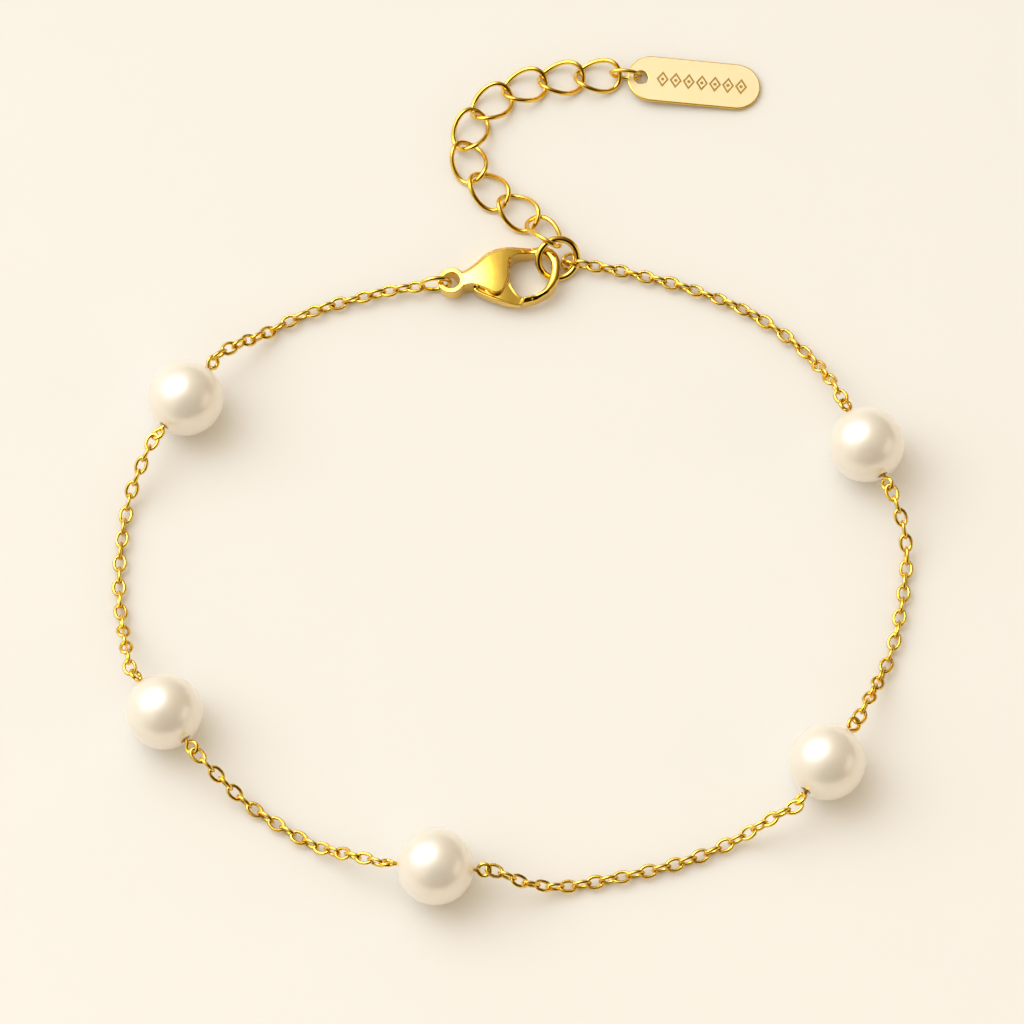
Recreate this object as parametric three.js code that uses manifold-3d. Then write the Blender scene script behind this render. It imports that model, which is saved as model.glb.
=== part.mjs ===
// A pearl anklet, closed with its lobster clasp and laid flat: five pearls on eye pins, six runs of fine cable
// chain, a nine-link extension chain and a flat tag.
//
// Millimetres, +Z up, lying on z = 0. The layout is drawn about the middle of the loop, and the whole group is
// then moved so that the origin lies under the centre of its box.

import * as THREE from 'three';
import { mergeVertices } from 'three/addons/utils/BufferGeometryUtils.js';
import Module from 'manifold-3d';

const wasm = await Module();
wasm.setup();

// ---- Driving dimensions ------------------------------------------------------------------------------------

const BOX_CENTRE_Y = 3.55; // middle of the laid-out piece, measured from the middle of its loop

// Pearls: round, drilled through, the drilling level
const PEARL_D = 7.0;
const PEARL_HOLE_D = 0.9;
const PEARL_SIDES = 24;
const PEARL_RINGS = 14;

// Place of each pearl, and the heading of its drilling along the loop from the clasp's tail, degrees
const PEARLS = [
  { x: -30.3, y: 10.0, heading: -124.4 },
  { x: -31.7, y: -21.2, heading: -53.4 },
  { x: -6.9, y: -36.2, heading: -4.5 },
  { x: 28.6, y: -26.1, heading: 55.3 },
  { x: 32.8, y: 5.3, heading: 115.0 },
];

// Eye pins: a wire through the pearl, bent into a closed loop at both ends
const PIN_WIRE_D = 0.4;
const EYE_OUTER_D = 1.5;
const EYE_CLEAR = 0.15; // between an eye and the pearl
const EYE_ROLLS = [35, -50]; // turn of the leading and the trailing eye about the pin, degrees

// Fine cable chain: outer diameter of its links, and how it comes down from a pearl's drilling
const CHAIN_D = 1.2;
const CHAIN_REST_Z = 0.64; // height of its centre where it lies
const CHAIN_DROP = 7.0; // length over which it comes down
const CHAIN_STEP = 3.0; // length of one straight piece of a run
const CHAIN_SIDES = 8;
const CHAIN_CLEAR = 0.2; // from a run's end to the eye or ring that its last link hangs on

// Routes of the six runs between their ends, seen from above, from the clasp's tail round to the end ring
const ROUTES = [
  [[-11.7, 22.1], [-16.4, 20.9], [-20.9, 19.1], [-24.2, 16.8]],
  [[-34.5, 3.1], [-35.5, 0.6], [-36.1, -3.6], [-36.2, -8.3], [-35.7, -12.4]],
  [[-27.0, -26.9], [-23.7, -29.5], [-19.2, -32.5], [-15.1, -34.6]],
  [[1.3, -37.4], [5.9, -37.0], [10.9, -36.0], [15.8, -34.7], [20.4, -32.7]],
  [[33.5, -17.6], [34.9, -14.0], [35.8, -10.1], [36.4, -5.8], [36.2, -2.8]],
  [[28.2, 14.8], [25.5, 17.7], [21.5, 20.4], [16.3, 22.6], [10.9, 24.1]],
];
const TAIL_RUN_START = { x: -9.05, y: 22.5, z: 1.0 }; // first end of the first run, at the clasp's jump ring
const END_RUN_FINISH = { x: 6.65, y: 24.9, z: 0.9 }; // last end of the last run, at the end ring

// Lobster clasp: its own frame has the tail eye's centre as origin and +X towards the hook
const CLASP_AT = { x: -5.67, y: 22.84, heading: 6 };
const CLASP_H = 2.3;
const CLASP_BEVEL = 0.15;
const TAIL_EYE = { outer: 1.3, hole: 0.78, low: 0.75, high: 1.75 };
const CLASP_FAR = { x: 11, y: 4 }; // past the clasp's outline on its hook side, and on either long side
const HOOK = { low: 0.5, high: 2.0 }; // clear of the surface it lies on
const HOOK_FROM = { x: 8.3, y: 0 }; // where the spine, and the nose, thin down to the hook
const TIP_FROM = { x: 5.7, y: 1.2 }; // the nose lies beyond this x, below this y
const RING_WAY = { low: 1.05, from: -0.85 }; // raised underside where the end ring passes below the hook
const LEVER_SLOT = { low: 0.6, high: 1.7 };
const SLOT_AREA = [[[1.85, -4], [5.65, -4]], [[5.65, 0.75], [2.9, 0.75]], [[1.85, 0.1], [1.85, -4]]];
const LEVER = { low: 0.7, high: 1.6 };
const PIVOT = { x: 3.6, y: -1.0, r: 0.3, low: 0.4, high: 1.9 };
const PIVOT_CLEAR = 0.07;
const TIP_REACH = 3.3; // from the pivot to the end of the lever, which is round about the pivot
const TIP_CLEAR = 0.08;
const TIP_CUT = { x: 5.5, farX: 8, y: -1.9 }; // where the sweep of the lever's end is cut from the hook's tip

// Outer edge of the body and hook, from the plate's lower right corner round the tail to the tip's inner corner
const BODY_EDGE = [
  [5.36, -0.05], [5.2, -0.62], [4.92, -1.18], [4.62, -1.62], [4.2, -1.8], [3.77, -1.74], [3.27, -1.39],
  [2.66, -1.02], [2.15, -0.76], [1.55, -0.64], [0.9, -0.8],
];
const BACK_EDGE = [
  [0.6, 0.9], [1.3, 0.97], [1.92, 1.25], [2.62, 1.72], [3.33, 2.3], [4.05, 2.66], [4.95, 2.9], [5.8, 2.95],
  [6.75, 2.9], [7.6, 2.82], [8.8, 2.66], [9.65, 2.3], [10.15, 1.75], [10.35, 1.0], [10.3, 0.2], [10.1, -0.7],
  [9.75, -1.42], [9.05, -2.13], [8.1, -2.62], [7.3, -2.85], [6.0, -3.0],
];
const MOUTH_EDGE = [
  [6.0, -2.4], [7.38, -2.3], [7.94, -2.15], [8.53, -1.74], [9.0, -1.0], [9.33, -0.2], [9.47, 0.5], [9.38, 1.15],
  [8.95, 1.72], [8.1, 2.0], [7.3, 2.06], [6.35, 1.93], [5.78, 1.42], [5.6, 0.66],
];
// Lever: round its pivot, out to the tip against the hook, and back along its thumb edge
const LEVER_EDGE = [
  [3.6, -0.2], [4.3, 0.1], [4.95, 0.1], [5.33, -0.35], [5.62, -1.05], [5.98, -1.75], [6.42, -2.15], [7.0, -2.3],
];
const LEVER_THUMB_EDGE = [
  [7.0, -3.0], [6.4, -3.02], [5.85, -3.0], [4.75, -2.7], [3.7, -2.22], [2.7, -1.64], [2.1, -1.2], [2.05, -0.95],
  [2.5, -0.75], [2.95, -0.45], [3.6, -0.2],
];

// Jump rings: outer length and width, wire, place, and attitude as heading, pitch and roll in degrees
const CLASP_RING = {
  length: 3.2, width: 2.6, wire: 0.44, x: -7.2, y: 22.7, z: 1.3, heading: 6, pitch: 0, roll: 86,
};
// END_RING, LAST_LINK and the last of LINK_CENTRES come from a random search for sizes and poses in which the end
// ring, the hook and links 8 and 9 keep clear of each other. They are its numbers, rounded, not chosen by hand.
const END_RING = {
  length: 4.45, width: 4.45, wire: 0.65, x: 4.3, y: 25.19, z: 1.58, heading: 26.7, pitch: -2.6, roll: 40.6,
};
const TAG_RING = {
  length: 3.2, width: 2.3, wire: 0.4, x: 10.8, y: 44.75, z: 1.15, heading: -5, pitch: 3, roll: 95,
};

// Extension chain: twisted oval links, from the tag's end to the end ring
const LINK = { length: 4.7, width: 3.6, wire: 0.46, z: 0.83, twist: 0.34 };
const LINK_CENTRES = [
  [8.16, 44.7], [4.7, 44.45], [1.2, 43.6], [-1.9, 41.8],
  [-3.9, 38.95], [-4.05, 35.65], [-2.15, 32.7], [0.62, 30.48],
];
const LAST_LINK = {
  length: 5.35, width: 3.45, wire: 0.46, twist: -0.17,
  x: 3.05, y: 27.86, z: 1.92, heading: -65.2, pitch: -28, roll: -28.8,
};

// Flat tag with rounded ends
const TAG = { length: 12.7, width: 4.7, thick: 0.4, hole: 1.3, holeInset: 1.3, x: 17.3, y: 44.1, z: 0.58 };
const TAG_HEADING = -4.6;
const TAG_PITCH = 3.1; // its ringed end rests on the ring, a little higher than the other

// Facets
const WIRE_SIDES = 6;
const RING_STEPS = 18;
const EDGE_STEPS = 2;

// ---- Materials ---------------------------------------------------------------------------------------------

const gold = () => new THREE.MeshStandardMaterial({ color: 0xd9a93f, metalness: 1.0, roughness: 0.22 });
const paleGold = () => new THREE.MeshStandardMaterial({ color: 0xefd08a, metalness: 1.0, roughness: 0.35 });
const nacre = () => new THREE.MeshStandardMaterial({ color: 0xf4ece0, metalness: 0.0, roughness: 0.25 });

// ---- Helpers -----------------------------------------------------------------------------------------------

const rad = THREE.MathUtils.degToRad;

/** A closed geometry as a solid, with only its positions kept and shared corners merged. */
function toSolid(geometry) {
  const bare = geometry.clone();
  bare.deleteAttribute('normal');
  bare.deleteAttribute('uv');
  const merged = mergeVertices(bare, 1e-4);
  return new wasm.Manifold(new wasm.Mesh({
    numProp: 3,
    vertProperties: new Float32Array(merged.attributes.position.array),
    triVerts: new Uint32Array(merged.index.array),
  }));
}

/** A solid back as a geometry. */
function toGeometry(solid) {
  const mesh = solid.getMesh();
  const geometry = new THREE.BufferGeometry();
  geometry.setAttribute('position', new THREE.BufferAttribute(mesh.vertProperties, 3));
  geometry.setIndex(new THREE.BufferAttribute(mesh.triVerts, 1));
  geometry.computeVertexNormals();
  return geometry;
}

/** A shape through points, smooth along each listed stretch and straight between stretches. */
function shapeThrough(...stretches) {
  const shape = new THREE.Shape();
  for (const stretch of stretches) {
    const points = stretch.map(([x, y]) => new THREE.Vector2(x, y));
    if (shape.curves.length === 0) shape.moveTo(points[0].x, points[0].y);
    else shape.lineTo(points[0].x, points[0].y);
    shape.splineThru(points.slice(1));
  }
  shape.closePath();
  return shape;
}

/** A slab of a shape between two heights, its edges eased by a bevel that stays inside the shape. */
function slab(shape, low, high, bevel = 0) {
  const geometry = new THREE.ExtrudeGeometry(shape, {
    depth: high - low - 2 * bevel,
    bevelEnabled: bevel > 0,
    bevelThickness: bevel,
    bevelSize: bevel,
    bevelOffset: -bevel,
    bevelSegments: 1,
    curveSegments: EDGE_STEPS,
  });
  return geometry.translate(0, 0, low + bevel);
}

/** An upright round post between two heights. */
function post(x, y, r, low, high, sides = 16) {
  const geometry = new THREE.CylinderGeometry(r, r, high - low, sides);
  return geometry.rotateX(Math.PI / 2).translate(x, y, (low + high) / 2);
}

/** An oval wire ring in the XY plane, its length along X; a twist lifts opposite corners into a curb link. */
function ovalRing({ length, width, wire, twist = 0 }) {
  const a = (length - wire) / 2;
  const b = (width - wire) / 2;
  const geometry = new THREE.TorusGeometry(a, wire / 2, WIRE_SIDES, RING_STEPS);
  const position = geometry.attributes.position;
  for (let i = 0; i < position.count; i += 1) {
    const angle = Math.atan2(position.getY(i), position.getX(i));
    const x = position.getX(i);
    const y = position.getY(i) + (b - a) * Math.sin(angle);
    position.setXYZ(i, x, y, position.getZ(i) + twist * x * y);
  }
  return geometry;
}

/** A named mesh, placed by its centre and by heading, pitch and roll in degrees. */
function place(name, geometry, material, { x = 0, y = 0, z = 0, heading = 0, pitch = 0, roll = 0 }) {
  const mesh = new THREE.Mesh(geometry, material);
  mesh.name = name;
  mesh.position.set(x, y, z);
  mesh.rotation.set(rad(roll), rad(pitch), rad(heading), 'ZYX');
  return mesh;
}

// ---- Pearls and their pins ---------------------------------------------------------------------------------

/** A drilled sphere with its drilling along X. */
function pearlGeometry() {
  const r = PEARL_D / 2;
  const hole = PEARL_HOLE_D / 2;
  const edge = Math.asin(hole / r);
  const profile = [];
  for (let i = 0; i <= PEARL_RINGS; i += 1) {
    const angle = edge + (Math.PI - 2 * edge) * (i / PEARL_RINGS);
    profile.push(new THREE.Vector2(r * Math.sin(angle), -r * Math.cos(angle)));
  }
  profile.push(profile[0].clone());
  return new THREE.LatheGeometry(profile, PEARL_SIDES).rotateZ(-Math.PI / 2);
}

/** Distance from a pearl's centre to the centre of each eye of its pin. */
const EYE_REACH = PEARL_D / 2 + EYE_CLEAR + EYE_OUTER_D / 2;

/** An eye pin along X: the wire and its two closed loops, as one solid. */
function pinGeometry() {
  const loop = (EYE_OUTER_D - PIN_WIRE_D) / 2;
  const wire = new THREE.CylinderGeometry(PIN_WIRE_D / 2, PIN_WIRE_D / 2, 2 * (EYE_REACH - loop), WIRE_SIDES);
  let solid = toSolid(wire.rotateZ(Math.PI / 2));
  for (const [side, roll] of [[1, EYE_ROLLS[0]], [-1, EYE_ROLLS[1]]]) {
    const eye = ovalRing({ length: EYE_OUTER_D, width: EYE_OUTER_D, wire: PIN_WIRE_D });
    eye.rotateX(rad(roll)).translate(side * EYE_REACH, 0, 0);
    solid = solid.add(toSolid(eye));
  }
  return toGeometry(solid);
}

/** The point where a chain run ends beside a pearl's eye: side 1 is the far eye along the loop, -1 the near. */
function eyeEnd(pearl, side) {
  const reach = EYE_REACH + EYE_OUTER_D / 2 + CHAIN_CLEAR;
  const angle = rad(pearl.heading);
  return new THREE.Vector3(
    pearl.x + side * reach * Math.cos(angle), pearl.y + side * reach * Math.sin(angle), PEARL_D / 2);
}

// ---- Chain runs --------------------------------------------------------------------------------------------

/** A run's route: its hand-laid points, each at the height that the chain has come down to there. */
function routeCurve(start, middle, finish) {
  const heightAt = (x, y) => {
    let z = CHAIN_REST_Z;
    for (const end of [start, finish]) {
      const down = THREE.MathUtils.smoothstep(Math.hypot(x - end.x, y - end.y), 0, CHAIN_DROP);
      z += (end.z - CHAIN_REST_Z) * (1 - down);
    }
    return z;
  };
  const points = [start, ...middle.map(([x, y]) => new THREE.Vector3(x, y, heightAt(x, y))), finish];
  const plain = new THREE.CatmullRomCurve3(points, false, 'centripetal');
  const steps = Math.round(plain.getLength() / (CHAIN_STEP / 3));
  const settled = plain.getSpacedPoints(steps).map((p, i) => (
    i === 0 || i === steps ? p : new THREE.Vector3(p.x, p.y, heightAt(p.x, p.y))));
  return new THREE.CatmullRomCurve3(settled, false, 'centripetal');
}

/** A many-sided tube along a run's route. */
function runGeometry(curve) {
  const section = new THREE.Shape();
  for (let i = 0; i < CHAIN_SIDES; i += 1) {
    const angle = ((i + 0.5) / CHAIN_SIDES) * 2 * Math.PI;
    const x = (CHAIN_D / 2) * Math.cos(angle);
    const y = (CHAIN_D / 2) * Math.sin(angle);
    if (i === 0) section.moveTo(x, y);
    else section.lineTo(x, y);
  }
  section.closePath();
  const steps = Math.max(2, Math.round(curve.getLength() / CHAIN_STEP));
  return new THREE.ExtrudeGeometry(section, { steps, extrudePath: curve, bevelEnabled: false });
}

// ---- Clasp -------------------------------------------------------------------------------------------------

/** A block between two corners in the plan and two heights. */
function block(x0, y0, x1, y1, low, high) {
  const geometry = new THREE.BoxGeometry(x1 - x0, y1 - y0, high - low);
  return toSolid(geometry.translate((x0 + x1) / 2, (y0 + y1) / 2, (low + high) / 2));
}

/** The clasp's body, spine and hook: one casting with a tail eye, a slot for the lever and blind pivot holes. */
function claspBodyGeometry() {
  const below = -1;
  const above = CLASP_H + 1;
  const { x: farX, y: farY } = CLASP_FAR;
  const outline = shapeThrough(BODY_EDGE, BACK_EDGE, MOUTH_EDGE);
  let solid = toSolid(slab(outline, 0, CLASP_H, CLASP_BEVEL));

  const underHook = block(TIP_FROM.x, -farY, farX, TIP_FROM.y, below, HOOK.low);
  const underTurn = block(HOOK_FROM.x, RING_WAY.from, farX, farY, below, RING_WAY.low);
  const overTurn = block(HOOK_FROM.x, -farY, farX, farY, HOOK.high, above);
  const overTip = block(TIP_FROM.x, -farY, farX, HOOK_FROM.y, HOOK.high, above);
  for (const cut of [underHook, underTurn, overTurn, overTip]) solid = solid.subtract(cut);
  solid = solid.subtract(toSolid(slab(shapeThrough(...SLOT_AREA), LEVER_SLOT.low, LEVER_SLOT.high)));

  const swept = toSolid(post(PIVOT.x, PIVOT.y, TIP_REACH + TIP_CLEAR, below, above, 48));
  const tipArea = block(TIP_CUT.x, -farY, TIP_CUT.farX, TIP_CUT.y, below, above);
  solid = solid.subtract(swept.intersect(tipArea));

  const eye = toSolid(post(0, 0, TAIL_EYE.outer, TAIL_EYE.low, TAIL_EYE.high, 24));
  const trim = toSolid(post(0, 0, TAIL_EYE.outer, below, above, 24));
  solid = solid.subtract(trim).add(eye);
  solid = solid.subtract(toSolid(post(0, 0, TAIL_EYE.hole, below, above, 20)));

  const bore = post(PIVOT.x, PIVOT.y, PIVOT.r + PIVOT_CLEAR, PIVOT.low - PIVOT_CLEAR, PIVOT.high + PIVOT_CLEAR);
  return toGeometry(solid.subtract(toSolid(bore)));
}

/** The lever: a flat finger that swings into the mouth on its pivot. */
function leverGeometry() {
  const finger = toSolid(slab(shapeThrough(LEVER_EDGE, LEVER_THUMB_EDGE), LEVER.low, LEVER.high));
  const reach = toSolid(post(PIVOT.x, PIVOT.y, TIP_REACH, 0, CLASP_H, 48));
  const bore = toSolid(post(PIVOT.x, PIVOT.y, PIVOT.r + PIVOT_CLEAR, 0, CLASP_H));
  return toGeometry(finger.intersect(reach).subtract(bore));
}

// ---- Tag ---------------------------------------------------------------------------------------------------

/** The tag: a strip with half-round ends and a hole near its ringed end, centred on the origin. */
function tagGeometry() {
  const r = TAG.width / 2;
  const half = TAG.length / 2 - r;
  const shape = new THREE.Shape();
  shape.moveTo(-half, -r);
  shape.lineTo(half, -r);
  shape.absarc(half, 0, r, -Math.PI / 2, Math.PI / 2, false);
  shape.lineTo(-half, r);
  shape.absarc(-half, 0, r, Math.PI / 2, (3 * Math.PI) / 2, false);
  const hole = new THREE.Path();
  hole.absarc(-TAG.length / 2 + TAG.holeInset, 0, TAG.hole / 2, 0, 2 * Math.PI, true);
  shape.holes.push(hole);
  const geometry = new THREE.ExtrudeGeometry(shape, { depth: TAG.thick, bevelEnabled: false, curveSegments: 14 });
  return geometry.translate(0, 0, -TAG.thick / 2);
}

// ---- Assembly ----------------------------------------------------------------------------------------------

const anklet = new THREE.Group();
anklet.position.y = -BOX_CENTRE_Y;

PEARLS.forEach((pearl, i) => {
  const at = { x: pearl.x, y: pearl.y, z: PEARL_D / 2, heading: pearl.heading };
  anklet.add(place(`pearl_${i + 1}`, pearlGeometry(), nacre(), at));
  anklet.add(place(`pin_${i + 1}`, pinGeometry(), gold(), at));
});

ROUTES.forEach((middle, i) => {
  const point = ({ x, y, z }) => new THREE.Vector3(x, y, z);
  const start = i === 0 ? point(TAIL_RUN_START) : eyeEnd(PEARLS[i - 1], 1);
  const finish = i === PEARLS.length ? point(END_RUN_FINISH) : eyeEnd(PEARLS[i], -1);
  anklet.add(place(`chain_${i + 1}`, runGeometry(routeCurve(start, middle, finish)), gold(), {}));
});

anklet.add(place('clasp_body', claspBodyGeometry(), gold(), CLASP_AT));
anklet.add(place('clasp_lever', leverGeometry(), gold(), CLASP_AT));
anklet.add(place('clasp_pivot', post(PIVOT.x, PIVOT.y, PIVOT.r, PIVOT.low, PIVOT.high), gold(), CLASP_AT));
anklet.add(place('clasp_ring', ovalRing(CLASP_RING), gold(), CLASP_RING));
anklet.add(place('end_ring', ovalRing(END_RING), gold(), END_RING));

LINK_CENTRES.forEach(([x, y], i) => {
  const before = LINK_CENTRES[i - 1] ?? [x, y];
  const after = LINK_CENTRES[i + 1] ?? [LAST_LINK.x, LAST_LINK.y];
  const heading = THREE.MathUtils.radToDeg(Math.atan2(after[1] - before[1], after[0] - before[0]));
  anklet.add(place(`extender_link_${i + 1}`, ovalRing(LINK), gold(), { x, y, z: LINK.z, heading }));
});
anklet.add(place(`extender_link_${LINK_CENTRES.length + 1}`, ovalRing(LAST_LINK), gold(), LAST_LINK));

anklet.add(place('tag_ring', ovalRing(TAG_RING), gold(), TAG_RING));
anklet.add(place('tag', tagGeometry(), paleGold(), { ...TAG, heading: TAG_HEADING, pitch: TAG_PITCH }));

export default anklet;
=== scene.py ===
"""A pearl anklet, clasped and laid flat.

Five pearls on eye pins, fine cable chain, a lobster clasp, an extension chain and a tag, all built in metres
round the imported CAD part. Sizes in the classes are millimetres and pass through MM.
"""

import sys

import logging
import math
from collections.abc import Callable
from dataclasses import dataclass, field
from enum import Enum
from itertools import product

import bmesh
import bpy
import numpy as np
from mathutils import Matrix, Vector

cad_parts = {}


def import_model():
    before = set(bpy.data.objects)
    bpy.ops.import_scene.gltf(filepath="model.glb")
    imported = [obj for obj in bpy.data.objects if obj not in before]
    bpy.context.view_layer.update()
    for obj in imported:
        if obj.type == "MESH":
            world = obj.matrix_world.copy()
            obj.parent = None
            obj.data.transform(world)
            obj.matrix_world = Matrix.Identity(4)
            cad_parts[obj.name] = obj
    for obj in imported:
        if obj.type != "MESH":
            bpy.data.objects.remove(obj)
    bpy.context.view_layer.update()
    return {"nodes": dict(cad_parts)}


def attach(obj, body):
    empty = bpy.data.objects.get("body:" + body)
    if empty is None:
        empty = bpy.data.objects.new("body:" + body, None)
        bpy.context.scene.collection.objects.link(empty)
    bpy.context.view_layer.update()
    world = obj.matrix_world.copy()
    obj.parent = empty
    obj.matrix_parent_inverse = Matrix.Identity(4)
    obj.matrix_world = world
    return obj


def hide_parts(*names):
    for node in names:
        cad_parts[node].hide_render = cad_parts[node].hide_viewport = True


LOG = logging.getLogger("anklet")

MM = 0.001
LOOP_CENTRE_Y = -3.55  # middle of the loop, about which the layout is drawn, in the part's frame

Colour = tuple[float, float, float]
Place = tuple[float, float]
Spot = tuple[float, float, float]
Level = np.ndarray | float
Field = Callable[[np.ndarray, np.ndarray, np.ndarray], np.ndarray]  # signed distance at places x, y and z


class Body(Enum):
    """The CAD bodies that pieces ride on."""

    ANKLET = "anklet"
    LEVER = "lever"


class Slot(Enum):
    """The record's material slots."""

    PEARL = "pearl"
    CHAIN_GOLD = "chain_gold"
    BRIGHT_GOLD = "bright_gold"
    TAG_GOLD = "tag_gold"


# ---- Node trees ----------------------------------------------------------------------------------


@dataclass
class Graph:
    """A node tree being wired up."""

    tree: bpy.types.NodeTree

    def add(self, kind: str, inputs: dict | None = None, **settings: object) -> bpy.types.Node:
        """Adds a node and wires it.

        Args:
            kind: The node's type name.
            inputs: Values or sockets by input name or number.
            settings: The node's own properties.

        Returns:
            The new node.
        """
        node = self.tree.nodes.new(kind)
        for name, value in settings.items():
            setattr(node, name, value)
        for name, value in (inputs or {}).items():
            if isinstance(value, bpy.types.NodeSocket):
                self.tree.links.new(value, node.inputs[name])
            else:
                node.inputs[name].default_value = value
        return node

    def sum(self, operation: str, *terms: object) -> bpy.types.NodeSocket:
        """One step of arithmetic on sockets or numbers; returns its result."""
        return self.add("ShaderNodeMath", dict(enumerate(terms)), operation=operation).outputs[0]


@dataclass
class MeshTree:
    """A Geometry Nodes group with named inputs, and the ways to run it."""

    name: str
    takes_geometry: bool = True
    graph: Graph = field(init=False)
    source: bpy.types.Node = field(init=False)

    def __post_init__(self) -> None:
        """Makes the empty group."""
        tree = bpy.data.node_groups.new(self.name, "GeometryNodeTree")
        tree.interface.new_socket("Geometry", in_out="OUTPUT", socket_type="NodeSocketGeometry")
        if self.takes_geometry:
            tree.interface.new_socket("Geometry", in_out="INPUT", socket_type="NodeSocketGeometry")
        self.graph = Graph(tree)
        self.source = tree.nodes.new("NodeGroupInput")

    def input(self, name: str, kind: str) -> bpy.types.NodeSocket:
        """Adds a named input.

        Args:
            name: What the input is called.
            kind: Float, Int or Material.

        Returns:
            The socket inside the tree that carries it.
        """
        self.graph.tree.interface.new_socket(name, in_out="INPUT", socket_type=f"NodeSocket{kind}")
        return self.source.outputs[name]

    def end(self, geometry: bpy.types.NodeSocket, material: bpy.types.NodeSocket | None = None) -> None:
        """Realises what the tree made, gives it its material and closes the tree.

        Args:
            geometry: The last geometry.
            material: The socket that carries the material, if the tree sets one.
        """
        if material is not None:
            real = self.graph.add("GeometryNodeRealizeInstances", {0: geometry})
            smooth = self.graph.add(
                "GeometryNodeSetShadeSmooth", {"Geometry": real.outputs[0], "Shade Smooth": True}
            )
            geometry = self.graph.add(
                "GeometryNodeSetMaterial", {"Geometry": smooth.outputs[0], "Material": material}
            ).outputs[0]
        self.graph.add("NodeGroupOutput", {0: geometry})

    def run(self, mesh: bpy.types.Mesh, name: str, values: dict[str, object]) -> bpy.types.Object:
        """Runs the tree on a mesh and keeps the result as a plain mesh.

        Args:
            mesh: What the tree starts from.
            name: Name of the new piece.
            values: The tree's inputs by name.

        Returns:
            The new piece, at the origin, with no modifier.
        """
        carrier = bpy.data.objects.new(name + "_path", mesh)
        bpy.context.scene.collection.objects.link(carrier)
        modifier = carrier.modifiers.new(self.name, "NODES")
        modifier.node_group = self.graph.tree
        sockets = {
            item.name: item.identifier
            for item in self.graph.tree.interface.items_tree
            if item.item_type == "SOCKET" and item.in_out == "INPUT"
        }
        for key, value in values.items():
            modifier[sockets[key]] = value
        evaluated = carrier.evaluated_get(bpy.context.evaluated_depsgraph_get())
        result = bpy.data.meshes.new_from_object(evaluated)
        carrier.modifiers.clear()
        bpy.data.objects.remove(carrier)
        result.name = name
        piece = bpy.data.objects.new(name, result)
        bpy.context.scene.collection.objects.link(piece)
        return piece


# ---- Placing and sweeping ------------------------------------------------------------------------


@dataclass(frozen=True)
class Attitude:
    """A piece's layout place in millimetres, and its heading, pitch and roll in degrees, as in the CAD."""

    x: float
    y: float
    z: float
    heading: float = 0.0
    pitch: float = 0.0
    roll: float = 0.0

    def turn(self) -> Matrix:
        """The turn alone, as a 4 by 4 matrix."""
        roll, pitch, heading = (math.radians(a) for a in (self.roll, self.pitch, self.heading))
        headed, pitched = Matrix.Rotation(heading, 4, "Z"), Matrix.Rotation(pitch, 4, "Y")
        return headed @ pitched @ Matrix.Rotation(roll, 4, "X")

    def matrix(self) -> Matrix:
        """From the piece's own millimetres to the part's metres."""
        at = Matrix.Translation(Vector((self.x, self.y + LOOP_CENTRE_Y, self.z)) * MM)
        return at @ self.turn() @ Matrix.Diagonal((MM, MM, MM, 1.0))


def new_piece(name: str, mesh: bpy.types.Mesh, material: bpy.types.Material) -> bpy.types.Object:
    """An object for a finished mesh, smooth shaded and dressed in one material.

    Args:
        name: Name of the piece.
        mesh: Its mesh, already in place.
        material: Its finish.

    Returns:
        The new object.
    """
    mesh.name = name
    mesh.materials.clear()
    mesh.materials.append(material)
    mesh.polygons.foreach_set("use_smooth", [True] * len(mesh.polygons))
    piece = bpy.data.objects.new(name, mesh)
    bpy.context.scene.collection.objects.link(piece)
    return piece


def mesh_of(points: np.ndarray, faces: list | np.ndarray, matrix: Matrix | None = None) -> bpy.types.Mesh:
    """A mesh from points and faces.

    Args:
        points: One row for each point.
        faces: The points of each face.
        matrix: Where to put it.

    Returns:
        The mesh.
    """
    mesh = bpy.data.meshes.new("made")
    mesh.from_pydata(np.asarray(points, float).tolist(), [], [list(map(int, f)) for f in faces])
    if matrix is not None:
        mesh.transform(matrix)
    mesh.update()
    return mesh


def heading_of(before: Place, after: Place) -> float:
    """The way from one place to another in the plan, in degrees."""
    return math.degrees(math.atan2(after[1] - before[1], after[0] - before[0]))


def smooth_line(points: list[tuple[float, ...]], steps: int) -> np.ndarray:
    """An open Catmull-Rom line through points, as the CAD draws an edge.

    Args:
        points: The points that it passes through.
        steps: Pieces between two of them.

    Returns:
        The points of the line, the first and last included.
    """
    p = np.array(points, float)
    before, after = np.vstack([p[:1], p[:-1]]), np.vstack([p[1:], p[-1:]])
    speed = (after - before) / 2
    t = np.arange(steps)[:, None] / steps
    spans = [
        (2 * a - 2 * b + va + vb) * t**3 + (-3 * a + 3 * b - 2 * va - vb) * t**2 + va * t + a
        for a, b, va, vb in zip(p[:-1], p[1:], speed[:-1], speed[1:])
    ]
    return np.vstack([*spans, p[-1:]])


WIRE_ASIDE = (0.31, 0.17, 0.93)  # no wire starts along this, so its section can be turned from it


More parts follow.
